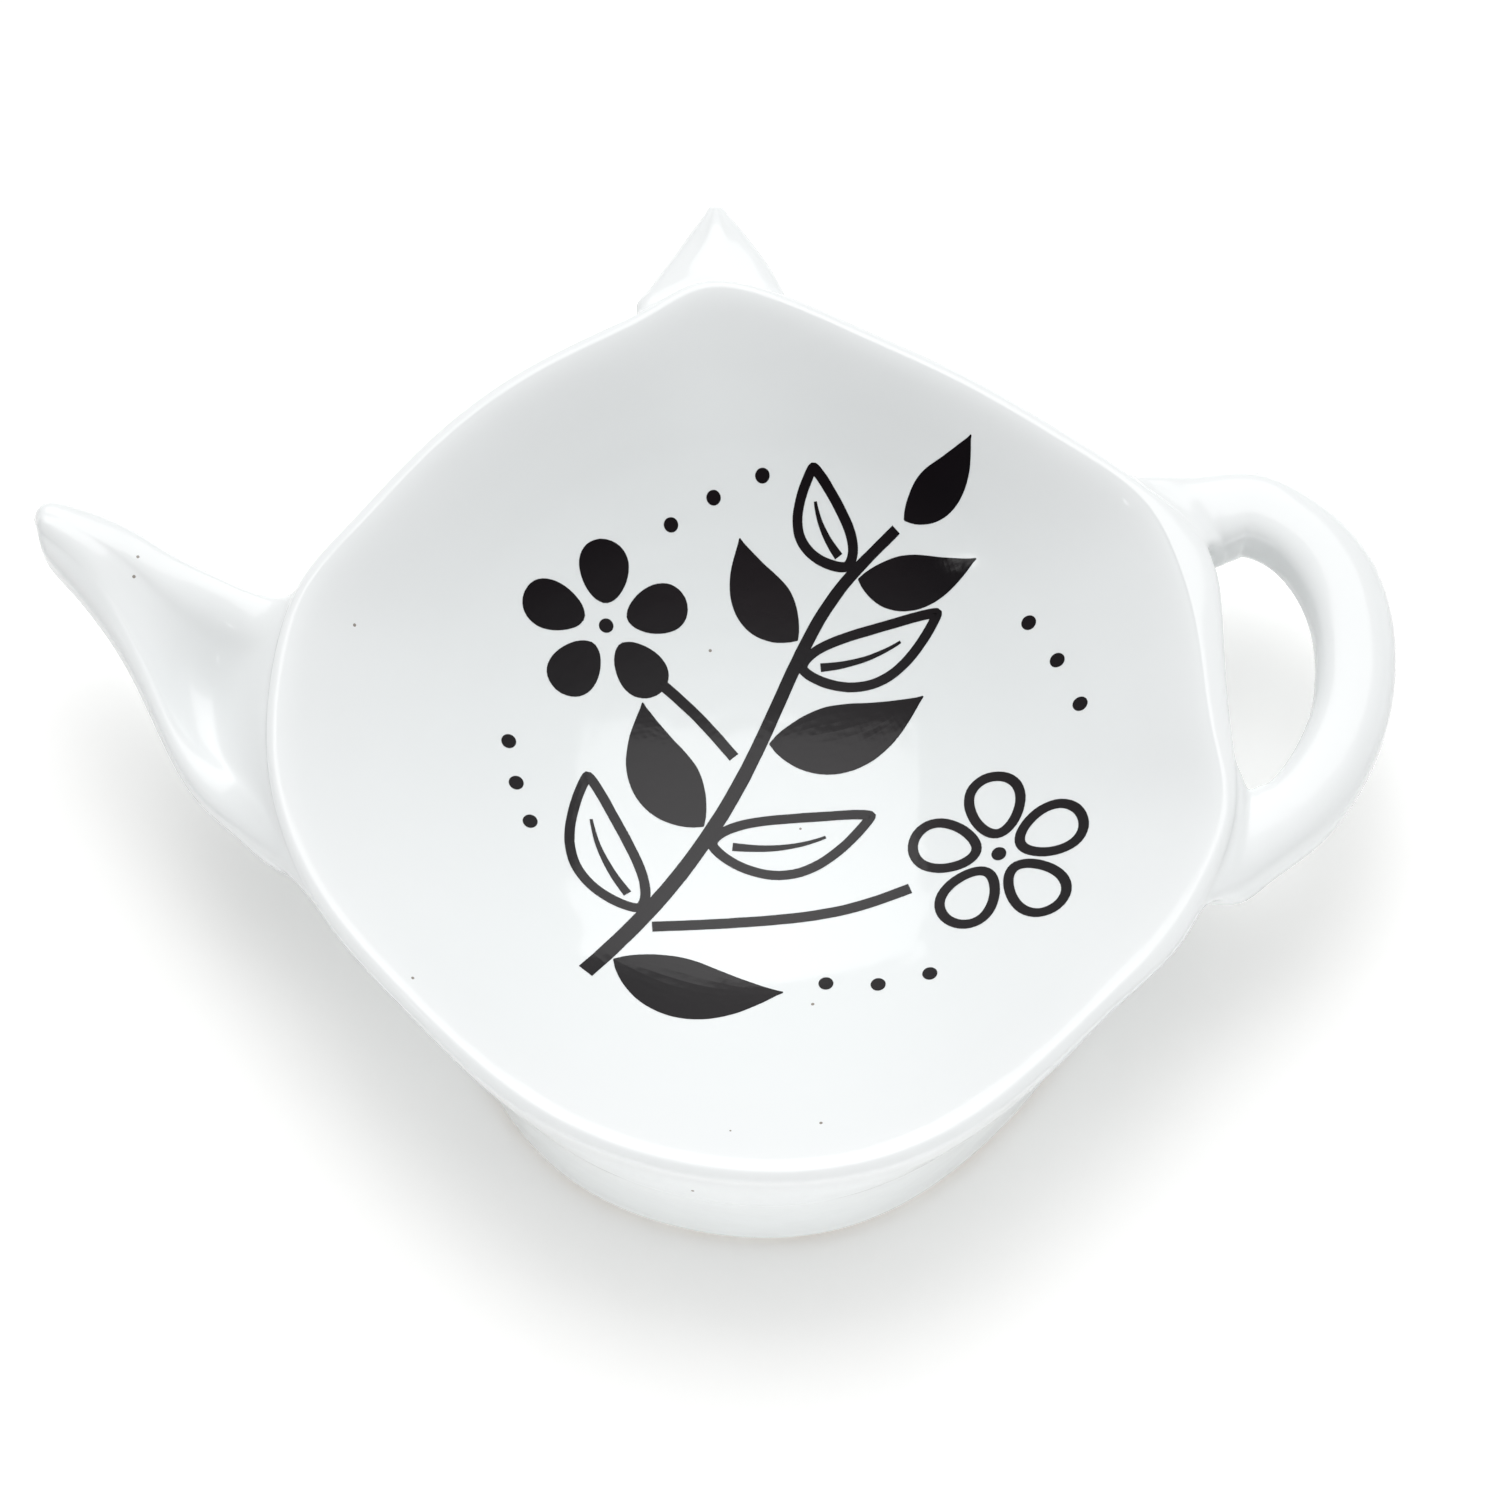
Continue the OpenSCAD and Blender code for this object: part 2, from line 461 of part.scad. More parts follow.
module foot_ring() {
    color(clay) seated() linear_extrude(base_h) difference() {
        polygon([for (i = [0:count - 1]) foot_at(i, -foot_inset - base_inset)]);
        polygon([for (i = [0:count - 1]) foot_at(i, base_inset - foot_t)]);
    }
}

module spout() {
    color(glaze) seated() limb(spout_root, spout_rings);
}

module handle() {
    color(glaze) seated() bow(handle_upper, handle_rings, turned(handle_lower));
}

module lid_knob() {
    color(glaze) seated() limb(knob_root, knob_rings);
}

module print_stem() {
    color(black) seated() {
        ribbon(stem_line, [for (i = [0:len(stem_line) - 1]) mix(stem_w, line_w, i / (len(stem_line) - 1))]);
        for (t = twig_shares) {
            line = open_curve([for (s = t) field(s)], 3);
            ribbon(line, [for (i = line) line_w]);
        }
    }
}

module print_solid_leaves() {
    color(black) seated() for (leaf = solid_leaf_shares) solid_leaf(leaf);
}

module print_drawn_leaves() {
    color(black) seated() for (leaf = drawn_leaf_shares) drawn_leaf(leaf);
}

module print_blossoms() {
    color(black) seated() for (i = [0:len(blossom_shares) - 1]) blossom(field(blossom_shares[i]), i == 0);
}

module print_dots() {
    color(black) seated() for (s = concat(dot_shares, blossom_shares)) dot(field(s));
}

basin();
foot_wall();
foot_ring();
spout();
handle();
lid_knob();
print_stem();
print_solid_leaves();
print_drawn_leaves();
print_blossoms();
print_dots();
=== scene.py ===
import json
import math

import bmesh
import bpy
import numpy as np
from mathutils import Matrix, Vector

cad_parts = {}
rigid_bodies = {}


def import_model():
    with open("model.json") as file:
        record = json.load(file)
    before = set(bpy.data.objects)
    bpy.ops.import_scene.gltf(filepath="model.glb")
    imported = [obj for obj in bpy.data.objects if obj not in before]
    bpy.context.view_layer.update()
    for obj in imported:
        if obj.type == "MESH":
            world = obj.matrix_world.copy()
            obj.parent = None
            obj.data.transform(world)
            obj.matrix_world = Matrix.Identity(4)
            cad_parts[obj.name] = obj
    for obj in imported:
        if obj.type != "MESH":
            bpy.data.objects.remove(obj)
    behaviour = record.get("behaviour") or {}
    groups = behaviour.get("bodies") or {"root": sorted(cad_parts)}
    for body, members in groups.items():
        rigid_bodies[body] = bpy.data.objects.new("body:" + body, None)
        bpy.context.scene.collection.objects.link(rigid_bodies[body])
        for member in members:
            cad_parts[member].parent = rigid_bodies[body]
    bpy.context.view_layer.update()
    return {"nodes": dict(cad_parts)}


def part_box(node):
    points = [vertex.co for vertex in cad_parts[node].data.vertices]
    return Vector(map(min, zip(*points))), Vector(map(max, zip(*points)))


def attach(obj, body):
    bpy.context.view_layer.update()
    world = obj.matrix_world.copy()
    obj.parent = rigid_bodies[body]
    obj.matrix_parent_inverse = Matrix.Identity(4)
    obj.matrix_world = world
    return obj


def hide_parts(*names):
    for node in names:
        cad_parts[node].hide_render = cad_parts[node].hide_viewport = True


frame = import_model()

mm = 0.001
print("frame loaded:", len(frame["nodes"]), "nodes")


# small helpers

def mix(a, b, t):
    return a + (b - a) * t


def ease(t):
    t = np.clip(t, 0, 1)
    return t * t * (3 - 2 * t)


def unit(v):
    return v / np.linalg.norm(v, axis=-1, keepdims=True)


def curvePiece(a, b, c, d, t):
    # one stretch of a smooth curve between four neighbouring control points
    return ((1 - t) ** 3 * a + (3 * t ** 3 - 6 * t * t + 4) * b
            + (-3 * t ** 3 + 3 * t * t + 3 * t + 1) * c + t ** 3 * d) / 6


settleRounds = 12       # rounds that move the control points until the curve runs through its places


def closedCurve(places, steps):
    q = np.asarray(places, float)
    p = q
    for turn in range(settleRounds):
        p = (6 * q - np.roll(p, 1, 0) - np.roll(p, -1, 0)) / 4
    four = [np.roll(p, k, 0) for k in (1, 0, -1, -2)]
    return np.stack([curvePiece(*four, s / steps) for s in range(steps)], 1).reshape(-1, *q.shape[1:])


def openCurve(places, steps):
    q = np.asarray(places, float)
    ends = np.vstack([2 * q[0] - q[1], q, 2 * q[-1] - q[-2]])
    p = ends
    for turn in range(settleRounds):
        m = (6 * ends[1:-1] - p[:-2] - p[2:]) / 4
        p = np.vstack([2 * m[0] - m[1], m, 2 * m[-1] - m[-2]])
    out = [curvePiece(*p[i:i + 4], s / steps) for i in range(len(q) - 1) for s in range(steps)]
    return np.array(out + [q[-1]])


def addNode(tree, kind, feeds=None, **settings):
    made = tree.nodes.new(kind)
    for name, value in settings.items():
        setattr(made, name, value)
    for socket, value in (feeds or {}).items():
        if isinstance(value, bpy.types.NodeSocket):
            tree.links.new(value, made.inputs[socket])
        else:
            made.inputs[socket].default_value = value
    return made


def addMath(tree, operation, *values):
    return addNode(tree, "ShaderNodeMath", dict(enumerate(values)), operation=operation).outputs[0]


def addVectorMath(tree, operation, feeds):
    return addNode(tree, "ShaderNodeVectorMath", feeds, operation=operation).outputs[0]


def mixColours(tree, factor, a, b):
    # a Mix node's inputs 6 and 7 and its output 2 are its colours
    return addNode(tree, "ShaderNodeMix", {"Factor": factor, 6: a, 7: b}, data_type="RGBA").outputs[2]


def newTree(name, kind, inputs, outputs):
    tree = bpy.data.node_groups.new(name, kind)
    for label, sort, value in inputs:
        socket = tree.interface.new_socket(label, in_out="INPUT", socket_type="NodeSocket" + sort)
        if value is not None:
            socket.default_value = value
    for label, sort in outputs:
        tree.interface.new_socket(label, in_out="OUTPUT", socket_type="NodeSocket" + sort)
    return tree, tree.nodes.new("NodeGroupInput").outputs, tree.nodes.new("NodeGroupOutput").inputs


def newShapeTree(name, inputs):
    return newTree(name, "GeometryNodeTree", [("Geometry", "Geometry", None), *inputs,
                                              ("Material", "Material", None)], [("Geometry", "Geometry")])


def finishShapeTree(tree, shape, given, put):
    real = addNode(tree, "GeometryNodeRealizeInstances", {0: shape.outputs[0]})
    finished = addNode(tree, "GeometryNodeSetMaterial", {"Geometry": real.outputs[0],
                                                         "Material": given["Material"]})
    tree.links.new(finished.outputs[0], put["Geometry"])


def readAttribute(tree, name, kind):
    made = addNode(tree, "GeometryNodeInputNamedAttribute", {"Name": name}, data_type=kind)
    return made.outputs["Attribute"]


def meshObject(name, points, faces):
    mesh = bpy.data.meshes.new(name)
    mesh.from_pydata([tuple(p) for p in np.asarray(points) * mm], [], [tuple(f) for f in faces])
    mesh.update()
    made = bpy.data.objects.new(name, mesh)
    bpy.context.scene.collection.objects.link(made)
    return made


def grow(obj, tree, values):
    # runs a node tree on an object and leaves the result as its plain mesh
    modifier = obj.modifiers.new(tree.name, "NODES")
    modifier.node_group = tree
    for item in tree.interface.items_tree:
        if item.item_type == "SOCKET" and item.in_out == "INPUT" and item.name in values:
            modifier[item.identifier] = values[item.name]
    bpy.context.view_layer.update()
    graph = bpy.context.evaluated_depsgraph_get()
    result = bpy.data.meshes.new_from_object(obj.evaluated_get(graph), preserve_all_data_layers=True,
                                             depsgraph=graph)
    obj.modifiers.remove(modifier)
    obj.data = result
    result.name = obj.name
    return obj


# the dish: sizes in millimetres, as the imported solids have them

dish = {
    "width": 82.0,              # crest to crest
    "depth": 83.6,
    "rimHeight": 17.5,
    "rimRounding": 0.8,
    "edgeHeight": 2.6,          # from the crest down to where the underside starts
    "edgeInset": 0.55,
    "floorHeight": 5.0,         # middle of the inside, above the table
    "floorThickness": 3.2,
    "lipWidth": 1.4,
    "webWidth": 2.0,
    "bowlPower": 2.3,
    "roundShare": 0.6,          # the inside is round up to this share of the way out
    "roundRadiusShare": 0.976,
    "columns": 3,               # columns of the net for each place of the rim
    "smoothing": 2,
    "rimPlaces": [
        (0.978, -0.084), (0.966, 0.132), (0.932, 0.316), (0.863, 0.455), (0.717, 0.579),
        (0.507, 0.727), (0.293, 0.849), (0.107, 0.947), (-0.054, 0.986), (-0.2, 0.914),
        (-0.415, 0.809), (-0.634, 0.653), (-0.815, 0.464), (-0.937, 0.316), (-0.995, 0.132),
        (-1.002, -0.108), (-0.912, -0.368), (-0.727, -0.608), (-0.488, -0.837), (-0.195, -0.973),
        (0.122, -1.001), (0.429, -0.895), (0.698, -0.675), (0.856, -0.518), (0.981, -0.287)],
    # where the rim is drawn out towards the handle
    "webPlaces": [0.33, 0.6, 1, 0.2] + [0] * 19 + [0.2, 0.08],
    # rings of the net: on the inside, round the rim (out and down), under the edge, and under the floor
    "insidePlaces": [0.04, 0.09, 0.16, 0.24, 0.32, 0.4, 0.48, 0.56, 0.63, 0.7, 0.76, 0.82, 0.87, 0.91,
                     0.94, 0.962, 0.979, 0.99],
    "rimTurn": [(0, 0), (0.71, 0.29), (1, 1)],
    "edgePlaces": [0, 0.25, 0.5, 0.78, 1],
    "underPlaces": [1, 0.72, 0.4, 0.14],
}
foot = {
    "wall": 3.0,
    "inset": 0.4,
    "leanShare": 0.8,           # the wall has come in by this share of its inset
    "leanHeight": 0.2,          # at this share of its height
    "ledge": 0.1,               # how far the front bows out between the edge and the wall
    "drop": 4.0,                # how far below the edge the wall starts at the front
    "baseHeight": 0.8,
    "baseRounding": 0.35,
    "frontFrom": 0.86,          # from this share of the way out the wall counts as the front
    "frontInset": 0.1,
    "places": [0.68, 0.67, 0.68, 0.7, 0.71, 0.72, 0.72, 0.72, 0.72, 0.72, 0.72, 0.72, 0.71, 0.69,
               0.67, 0.69, 0.775, 0.89, 0.992, 1.025, 1.02, 0.985, 0.94, 0.82, 0.73],
}

crest = closedCurve(np.array(dish["rimPlaces"]) * (dish["width"] / 2, dish["depth"] / 2), dish["columns"])
count = len(crest)
crestReach = np.linalg.norm(crest, axis=1)
heading = unit(crest)
along = np.roll(crest, -1, 0) - np.roll(crest, 1, 0)
outward = unit(np.stack([along[:, 1], -along[:, 0]], 1))
footShare = closedCurve(foot["places"], dish["columns"])
web = dish["webWidth"] * np.maximum(closedCurve(dish["webPlaces"], dish["columns"]), 0)
roundRadius = dish["roundRadiusShare"] * min(dish["width"], dish["depth"]) / 2
lipShare = 2 * dish["lipWidth"] / dish["width"]
bowlRise = (dish["rimHeight"] - dish["floorHeight"]) / (1 - lipShare * dish["bowlPower"])
underLow = dish["floorHeight"] - dish["floorThickness"]
underRise = dish["rimHeight"] - dish["edgeHeight"] - underLow


def rounded(t):
    return mix(roundRadius, crestReach, ease((t - dish["roundShare"]) / (1 - dish["roundShare"])))


def insideHeight(t):
    fall = dish["bowlPower"] * lipShare * math.exp((t - 1) / lipShare)
    return dish["floorHeight"] + bowlRise * (t ** dish["bowlPower"] - fall)


def underHeight(t):
    return underLow + underRise * np.power(t, dish["bowlPower"])


def ringAt(flat, height):
    return np.column_stack([flat, np.broadcast_to(height, count)])


footReach = footShare * rounded(footShare)
front = ease((footShare - foot["frontFrom"]) / (1 - foot["frontFrom"]))


def footAt(out):
    return heading * (footReach + out)[:, None]


def rimRing(share, fall):
    out = share * (dish["rimRounding"] + web)
    return ringAt(crest + outward * out[:, None], dish["rimHeight"] - fall * dish["rimRounding"])


def underRing(k):
    inset = dish["edgeInset"] * mix(1, foot["frontInset"], front)
    edge = crest + outward * (dish["rimRounding"] + web - inset)[:, None]
    ledge = outward * (foot["ledge"] * front * math.sin(math.pi * k))[:, None]
    flat = mix(edge, footAt(0), k) + ledge
    if k == 0:
        return ringAt(flat, dish["rimHeight"] - dish["edgeHeight"])
    share = np.minimum(np.linalg.norm(flat, axis=1) / crestReach, 1)
    return ringAt(flat, underHeight(share) - foot["drop"] * front * k)


# the cage: rings from the middle of the inside, over the rim and down the outside to the foot

base = foot["baseHeight"]
wallHeight = dish["rimHeight"] - base
footRows = [
    (-foot["inset"] * foot["leanShare"], base + wallHeight * foot["leanHeight"]),
    (-foot["inset"], base + foot["baseRounding"]),
    (-foot["inset"] - foot["baseRounding"], base),
    (foot["baseRounding"] - foot["wall"], base),
    (-foot["wall"], base + foot["baseRounding"])]
innerShare = (footReach - foot["wall"]) / crestReach
cageRings = [ringAt(heading * (t * rounded(t))[:, None], insideHeight(t)) for t in dish["insidePlaces"]]
cageRings += [rimRing(share, fall) for share, fall in dish["rimTurn"]]
rootRow = len(cageRings) - 1
rootRows = 3            # rows of the wall that a limb's root takes up
cageRings += [underRing(k) for k in dish["edgePlaces"]]
cageRings += [ringAt(footAt(out), height) for out, height in footRows]
cageRings += [ringAt(footAt(-foot["wall"]) * k, underHeight(innerShare * k)) for k in dish["underPlaces"]]

points = [p for ring in cageRings for p in ring]
middleTop = len(points)
points += [np.array([0, 0, insideHeight(0)]), np.array([0, 0, underLow])]
faces = []


def at(row, column):
    return row * count + column % count


def addPoints(ring):
    first = len(points)
    points.extend(np.asarray(ring, float))
    return list(range(first, len(points)))


def addBand(a, b):
    n = len(a)
    for i in range(n):
        faces.append((a[i], b[i], b[(i + 1) % n], a[(i + 1) % n]))


# first and last column of each limb's root
roots = {"spout": (39, 48), "handleUpper": (6, 10), "handleLower": (70, 74), "knob": (21, 27)}


def rootBorder(name, turned=False):
    # the points round a root, and how many of them lie along its top
    first, last = roots[name]
    top = [at(rootRow, c) for c in range(first, last + 1)]
    low = [at(rootRow + rootRows, c) for c in range(first, last + 1)]
    right = [at(rootRow + r, last) for r in range(1, rootRows)]
    left = [at(rootRow + r, first) for r in range(1, rootRows)]
    if turned:
        top, low, right, left = top[::-1], low[::-1], left, right
    return top + right + low[::-1] + left[::-1], len(top)


def rootTop(name):
    border, across = rootBorder(name)
    return [points[i] for i in border[:across]]


opened = {at(row, c) for first, last in roots.values()
          for row in range(rootRow, rootRow + rootRows) for c in range(first, last)}
for row in range(len(cageRings) - 1):
    for c in range(count):
        if at(row, c) not in opened:
            faces.append((at(row, c), at(row + 1, c), at(row + 1, c + 1), at(row, c + 1)))
for c in range(count):
    faces.append((middleTop, at(0, c), at(0, c + 1)))
    faces.append((middleTop + 1, at(len(cageRings) - 1, c + 1), at(len(cageRings) - 1, c)))


# limbs: each grows out of its root's border

limb = {
    "lip": 0.7,                 # a section's outermost points lie farther out, in roundings
    "lipDrop": 0.45,            # and lower, which rounds the edge
    "dip": 1.3,                 # how the hollow falls off towards the edges
    "underInset": 1.1,          # how much narrower the underside is, in roundings
    "sides": (0.32, 0.66),      # the sides' points, as shares of the way down
}


def section(top, u, v, bend, hu, hv, hollow, base, r):
    # a ring of points from edge u over the top to edge v, down its side, back underneath and up
    n = len(top) - 1
    d = unit(v - u)
    a, b = top[0][:2], top[-1][:2]

    def bowed(i, inset):
        return mix(u + d * inset, v - d * inset, i / n) + bend * (top[i][:2] - mix(a, b, i / n))

    ring = []
    for i in range(n + 1):
        lip = limb["lip"] if i in (0, n) else 0
        fall = hollow * abs(math.sin(math.pi * i / n)) ** limb["dip"] + lip * limb["lipDrop"] * r
        ring.append((*bowed(i, r * (1 - lip)), mix(hu, hv, i / n) - fall))
    ring += [(*v, mix(hv, base, s)) for s in limb["sides"]]
    ring += [(*bowed(i, limb["underInset"] * r), base) for i in range(n, -1, -1)]
    ring += [(*u, mix(hu, base, s)) for s in limb["sides"][::-1]]
    return ring


def addLimb(name, rings):
    last, across = rootBorder(name)
    for ring in rings:
        ring = addPoints(ring)
        addBand(last, ring)
        last = ring
    n = across - 1
    for i in range(n):          # closes the limb's point
        faces.append((last[i], last[2 * n + 3 - i], last[2 * n + 2 - i], last[i + 1]))
    faces.append((last[n], last[n + 3], last[n + 2], last[n + 1]))
    faces.append((last[0], last[2 * n + 5], last[2 * n + 4], last[2 * n + 3]))


spout = {
    "reach": 23.2, "rise": 1.5, "thickness": 5.0, "hollow": 2.4, "rounding": 1.7,
    # upper edge, lower edge, bend, heights of both edges, hollow, thickness and rounding as shares
    "rows": [
        (0.08, -0.01, 0.14, 0.145, 0.85, -0.15, -0.35, 0.6, 1.08, 1),
        (0.2, 0.02, 0.29, 0.26, 0.6, -0.2, -0.75, 1, 1.08, 1),
        (0.34, 0.08, 0.45, 0.39, 0.38, -0.2, -0.85, 0.85, 1.06, 1),
        (0.48, 0.14, 0.57, 0.57, 0.2, 0.1, -0.65, 0.45, 1.06, 1),
        (0.61, 0.21, 0.67, 0.75, 0.1, 0.4, -0.35, 0.15, 1.06, 1),
        (0.73, 0.26, 0.775, 0.9, 0, 0.7, 0.1, -0.1, 1.03, 1),
        (0.84, 0.29, 0.895, 1.03, 0, 0.9, 0.5, -0.2, 0.98, 0.8),
        (0.935, 0.3, 0.99, 1.12, 0, 1, 0.8, -0.25, 0.88, 0.5),
        (0.99, 0.265, 1.02, 1.18, 0, 0.6, 0.45, -0.1, 0.56, 0.3)],
}
top = rootTop("spout")
upper, lower = top[0], top[-1]
spoutWidth = upper[1] - lower[1]
rings = []
for ux, uy, vx, vy, bend, hu, hv, hollow, thick, r in spout["rows"]:
    u = np.array([upper[0] - ux * spout["reach"], upper[1] + uy * spoutWidth])
    v = np.array([lower[0] - vx * spout["reach"], lower[1] + vy * spoutWidth])
    high = upper[2] + hu * spout["rise"]
    rings.append(section(top, u, v, bend, high, upper[2] + hv * spout["rise"], hollow * spout["hollow"],
                         high - thick * spout["thickness"], r * spout["rounding"]))
addLimb("spout", rings)

knob = {
    "reach": 11.6, "thickness": 4.2, "offset": 1.0, "lean": 3, "rounding": 0.7, "crown": 0.6, "fall": 4.2,
    # way to the point, half width, bend, height, crown, thickness and rounding as shares
    "rows": [(0.07, 1, 0.9, 0.03, 0.1, 1.05, 1), (0.19, 0.9, 0.75, 0.1, 0.3, 1.05, 1),
             (0.38, 0.73, 0.5, 0.2, 0.6, 1.03, 1), (0.57, 0.53, 0.25, 0.28, 0.8, 0.98, 1),
             (0.74, 0.35, 0.1, 0.34, 0.8, 0.9, 1), (0.89, 0.165, 0, 0.42, 0.4, 0.7, 0.5),
             (0.975, 0.08, 0, 0.55, 0.15, 0.4, 0.3)],
}
top = rootTop("knob")
right, left = top[0], top[-1]
halfWidth = (right[0] - left[0]) / 2
rings = []
for way, half, bend, height, crown, thick, r in knob["rows"]:
    x = (left[0] + right[0]) / 2 + knob["offset"] * (1 - (1 - way) ** knob["lean"])
    y = (left[1] + right[1]) / 2 + way * knob["reach"]
    h = right[2] - height * knob["fall"]
    u, v = np.array([x + half * halfWidth, y]), np.array([x - half * halfWidth, y])
    rings.append(section(top, u, v, bend, h, h, -crown * knob["crown"], h - thick * knob["thickness"],
                         r * knob["rounding"]))
addLimb("knob", rings)

handle = {
    "reach": 15.8, "width": 7.0, "height": 6.0,
    "step": 1.3,                # how far the bar's top lies below the rim
    # places of the bar's centre line between its roots, its width as shares, and its turn in degrees
    "line": [(-0.024, 1.021, 1.073, 16), (0.165, 1.026, 1.024, -2), (0.347, 1.024, 0.986, 0),
             (0.624, 0.955, 0.943, 0), (0.86, 0.828, 0.993, 0), (0.968, 0.678, 0.993, 0),
             (0.969, 0.523, 0.979, 0), (0.884, 0.361, 0.95, 0), (0.709, 0.216, 0.943, 0),
             (0.514, 0.113, 0.943, 0), (0.317, 0.05, 1.011, -16), (0.065, -0.007, 1.383, -36)],
    "steps": 2,                 # rings of the bar for each place
    # the bar's section, starting at the top on the gap's side
    "bar": [(-0.8, 0.84), (-0.42, 0.98), (0, 1), (0.42, 0.98), (0.8, 0.84), (1, 0.42), (1, -0.42),
            (0.8, -0.84), (0.42, -0.98), (0, -1), (-0.42, -0.98), (-0.8, -0.84), (-1, -0.42), (-1, 0.42)],
    "gapFillet": 0.14,          # the bar widens towards the gap at its upper root, and this fades
    "fade": 0.5,
}
upperBorder, across = rootBorder("handleUpper")
lowerBorder, across = rootBorder("handleLower", turned=True)
upperY, lowerY = ((points[b[0]][1] + points[b[across - 1]][1]) / 2 for b in (upperBorder, lowerBorder))
rimRight = crest[:, 0].max() + dish["rimRounding"]
barHeight = dish["rimHeight"] - handle["step"] - handle["height"] / 2
barReach = handle["reach"] - handle["width"] / 2
barLine = openCurve([(rimRight + x * barReach, mix(lowerY, upperY, y), w * handle["width"], turn)
                     for x, y, w, turn in handle["line"]], handle["steps"])


def joinHalfway(a, b):
    # a ring midway keeps the skin from sagging between a root and the bar
    ring = addPoints([(points[i] + points[j]) / 2 for i, j in zip(a, b)])
    addBand(a, ring)
    return ring


last = upperBorder
for i, (x, y, w, turn) in enumerate(barLine):
    before, after = barLine[max(i - 1, 0)], barLine[min(i + 1, len(barLine) - 1)]
    a = math.atan2(after[1] - before[1], after[0] - before[0]) + math.radians(90 + turn)
    widened = 1 + handle["gapFillet"] * handle["fade"] ** i
    ring = []
    for s, t in handle["bar"]:
        out = s * w / 2 * (widened if s < 0 else 1)
        ring.append((x + math.cos(a) * out, y + math.sin(a) * out, barHeight + t * handle["height"] / 2))
    ring = addPoints(ring)
    if i == 0:
        last = joinHalfway(last, ring)
    addBand(last, ring)
    last = ring
last = joinHalfway(last, lowerBorder)
addBand(last, lowerBorder)


# smoothing pulls a cage inwards, so it is pushed out until the smooth skin meets the drawn points

skinFit = {"rounds": 4, "longestPush": 0.4}


def smoothSkin(cage):
    # where the points come to lie once the skin is smooth
    total = np.zeros((len(cage), 3))
    n = np.zeros(len(cage))
    for size in (3, 4):
        f = np.array([face for face in faces if len(face) == size])
        for k in range(size):
            v, before, after = f[:, k], cage[f[:, k - 1]], cage[f[:, (k + 1) % size]]
            across = cage[f[:, (k + 2) % size]] if size == 4 else (before + after) / 2
            np.add.at(total, v, 2 * (before + after) + across)
            np.add.at(n, v, 1)
    n = np.maximum(n, 1)        # points under the roots have no faces
    return (n[:, None] ** 2 * cage + total) / (n * (n + 5))[:, None]


drawn = np.array(points)
cage = drawn.copy()
for turn in range(skinFit["rounds"]):
    push = drawn - smoothSkin(cage)
    far = np.linalg.norm(push, axis=1, keepdims=True)
    cage += push * np.minimum(1, skinFit["longestPush"] / np.maximum(far, 0.001))

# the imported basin's left and back edges tell where the dish's middle lies in the row frame
edge = cageRings[rootRow]
basinLow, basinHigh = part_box("basin")
shift = np.array([basinLow.x / mm - edge[:, 0].min(), basinHigh.y / mm - edge[:, 1].max(), 0])
body = meshObject("porcelainBody", cage + shift, faces)

# the inside's points carry their share of the way out, and all others -1: the hollow's rule reads it
ruled = count * len(dish["insidePlaces"])
reach = body.data.attributes.new("reach", "FLOAT", "POINT")
reach.data.foreach_set("value", [dish["insidePlaces"][i // count] if i < ruled
                                 else (0 if i == middleTop else -1) for i in range(len(points))])

work = bmesh.new()
work.from_mesh(body.data)
bmesh.ops.delete(work, geom=[v for v in work.verts if not v.link_faces], context="VERTS")
bmesh.ops.recalc_face_normals(work, faces=work.faces)
if work.calc_volume(signed=True) < 0:
    bmesh.ops.reverse_faces(work, faces=work.faces)
work.to_mesh(body.data)
print("cage:", len(work.verts), "points,", sum(not e.is_manifold for e in work.edges), "open edges")
work.free()


# materials

def newMaterial(name):
    made = bpy.data.materials.new(name)
    made.use_nodes = True
    tree = made.node_tree
    tree.nodes.clear()
    shader = addNode(tree, "ShaderNodeBsdfPrincipled")
    addNode(tree, "ShaderNodeOutputMaterial", {"Surface": shader.outputs["BSDF"]})
    return made, tree, shader


def finishMaterial(tree, shader, colour, height, look):
    bump = addNode(tree, "ShaderNodeBump", {"Height": height, "Strength": look["bump"],
                                            "Distance": look["bumpDepth"]})
    tree.links.new(colour, shader.inputs["Base Color"])
    tree.links.new(bump.outputs["Normal"], shader.inputs["Normal"])
    shader.inputs["Roughness"].default_value = look["roughness"]


# kiln marks, shared by the glaze and the print: slow unevenness, fine ripple and rare specks
kilnMarks, given, put = newTree(
    "kilnMarks", "ShaderNodeTree",
    [("Cloud scale", "Float", 45.0), ("Ripple scale", "Float", 420.0), ("Speck scale", "Float", 260.0),
     ("Speck size", "Float", 0.04), ("Bare share", "Float", 0.75)],
    [("Cloud", "Float"), ("Ripple", "Float"), ("Speck", "Float")])
tree = kilnMarks
where = addNode(tree, "ShaderNodeTexCoord").outputs["Object"]
cloud = addNode(tree, "ShaderNodeTexNoise", {"Vector": where, "Scale": given["Cloud scale"], "Detail": 3.0})
ripple = addNode(tree, "ShaderNodeTexNoise", {"Vector": where, "Scale": given["Ripple scale"], "Detail": 2.0})
cells = addNode(tree, "ShaderNodeTexVoronoi", {"Vector": where, "Scale": given["Speck scale"]})
draw = addNode(tree, "ShaderNodeSeparateColor", {"Color": cells.outputs["Color"]})
small = addMath(tree, "LESS_THAN", cells.outputs["Distance"], given["Speck size"])
chosen = addMath(tree, "GREATER_THAN", draw.outputs["Red"], given["Bare share"])
tree.links.new(cloud.outputs["Fac"], put["Cloud"])
tree.links.new(ripple.outputs["Fac"], put["Ripple"])
tree.links.new(addMath(tree, "MULTIPLY", small, chosen), put["Speck"])

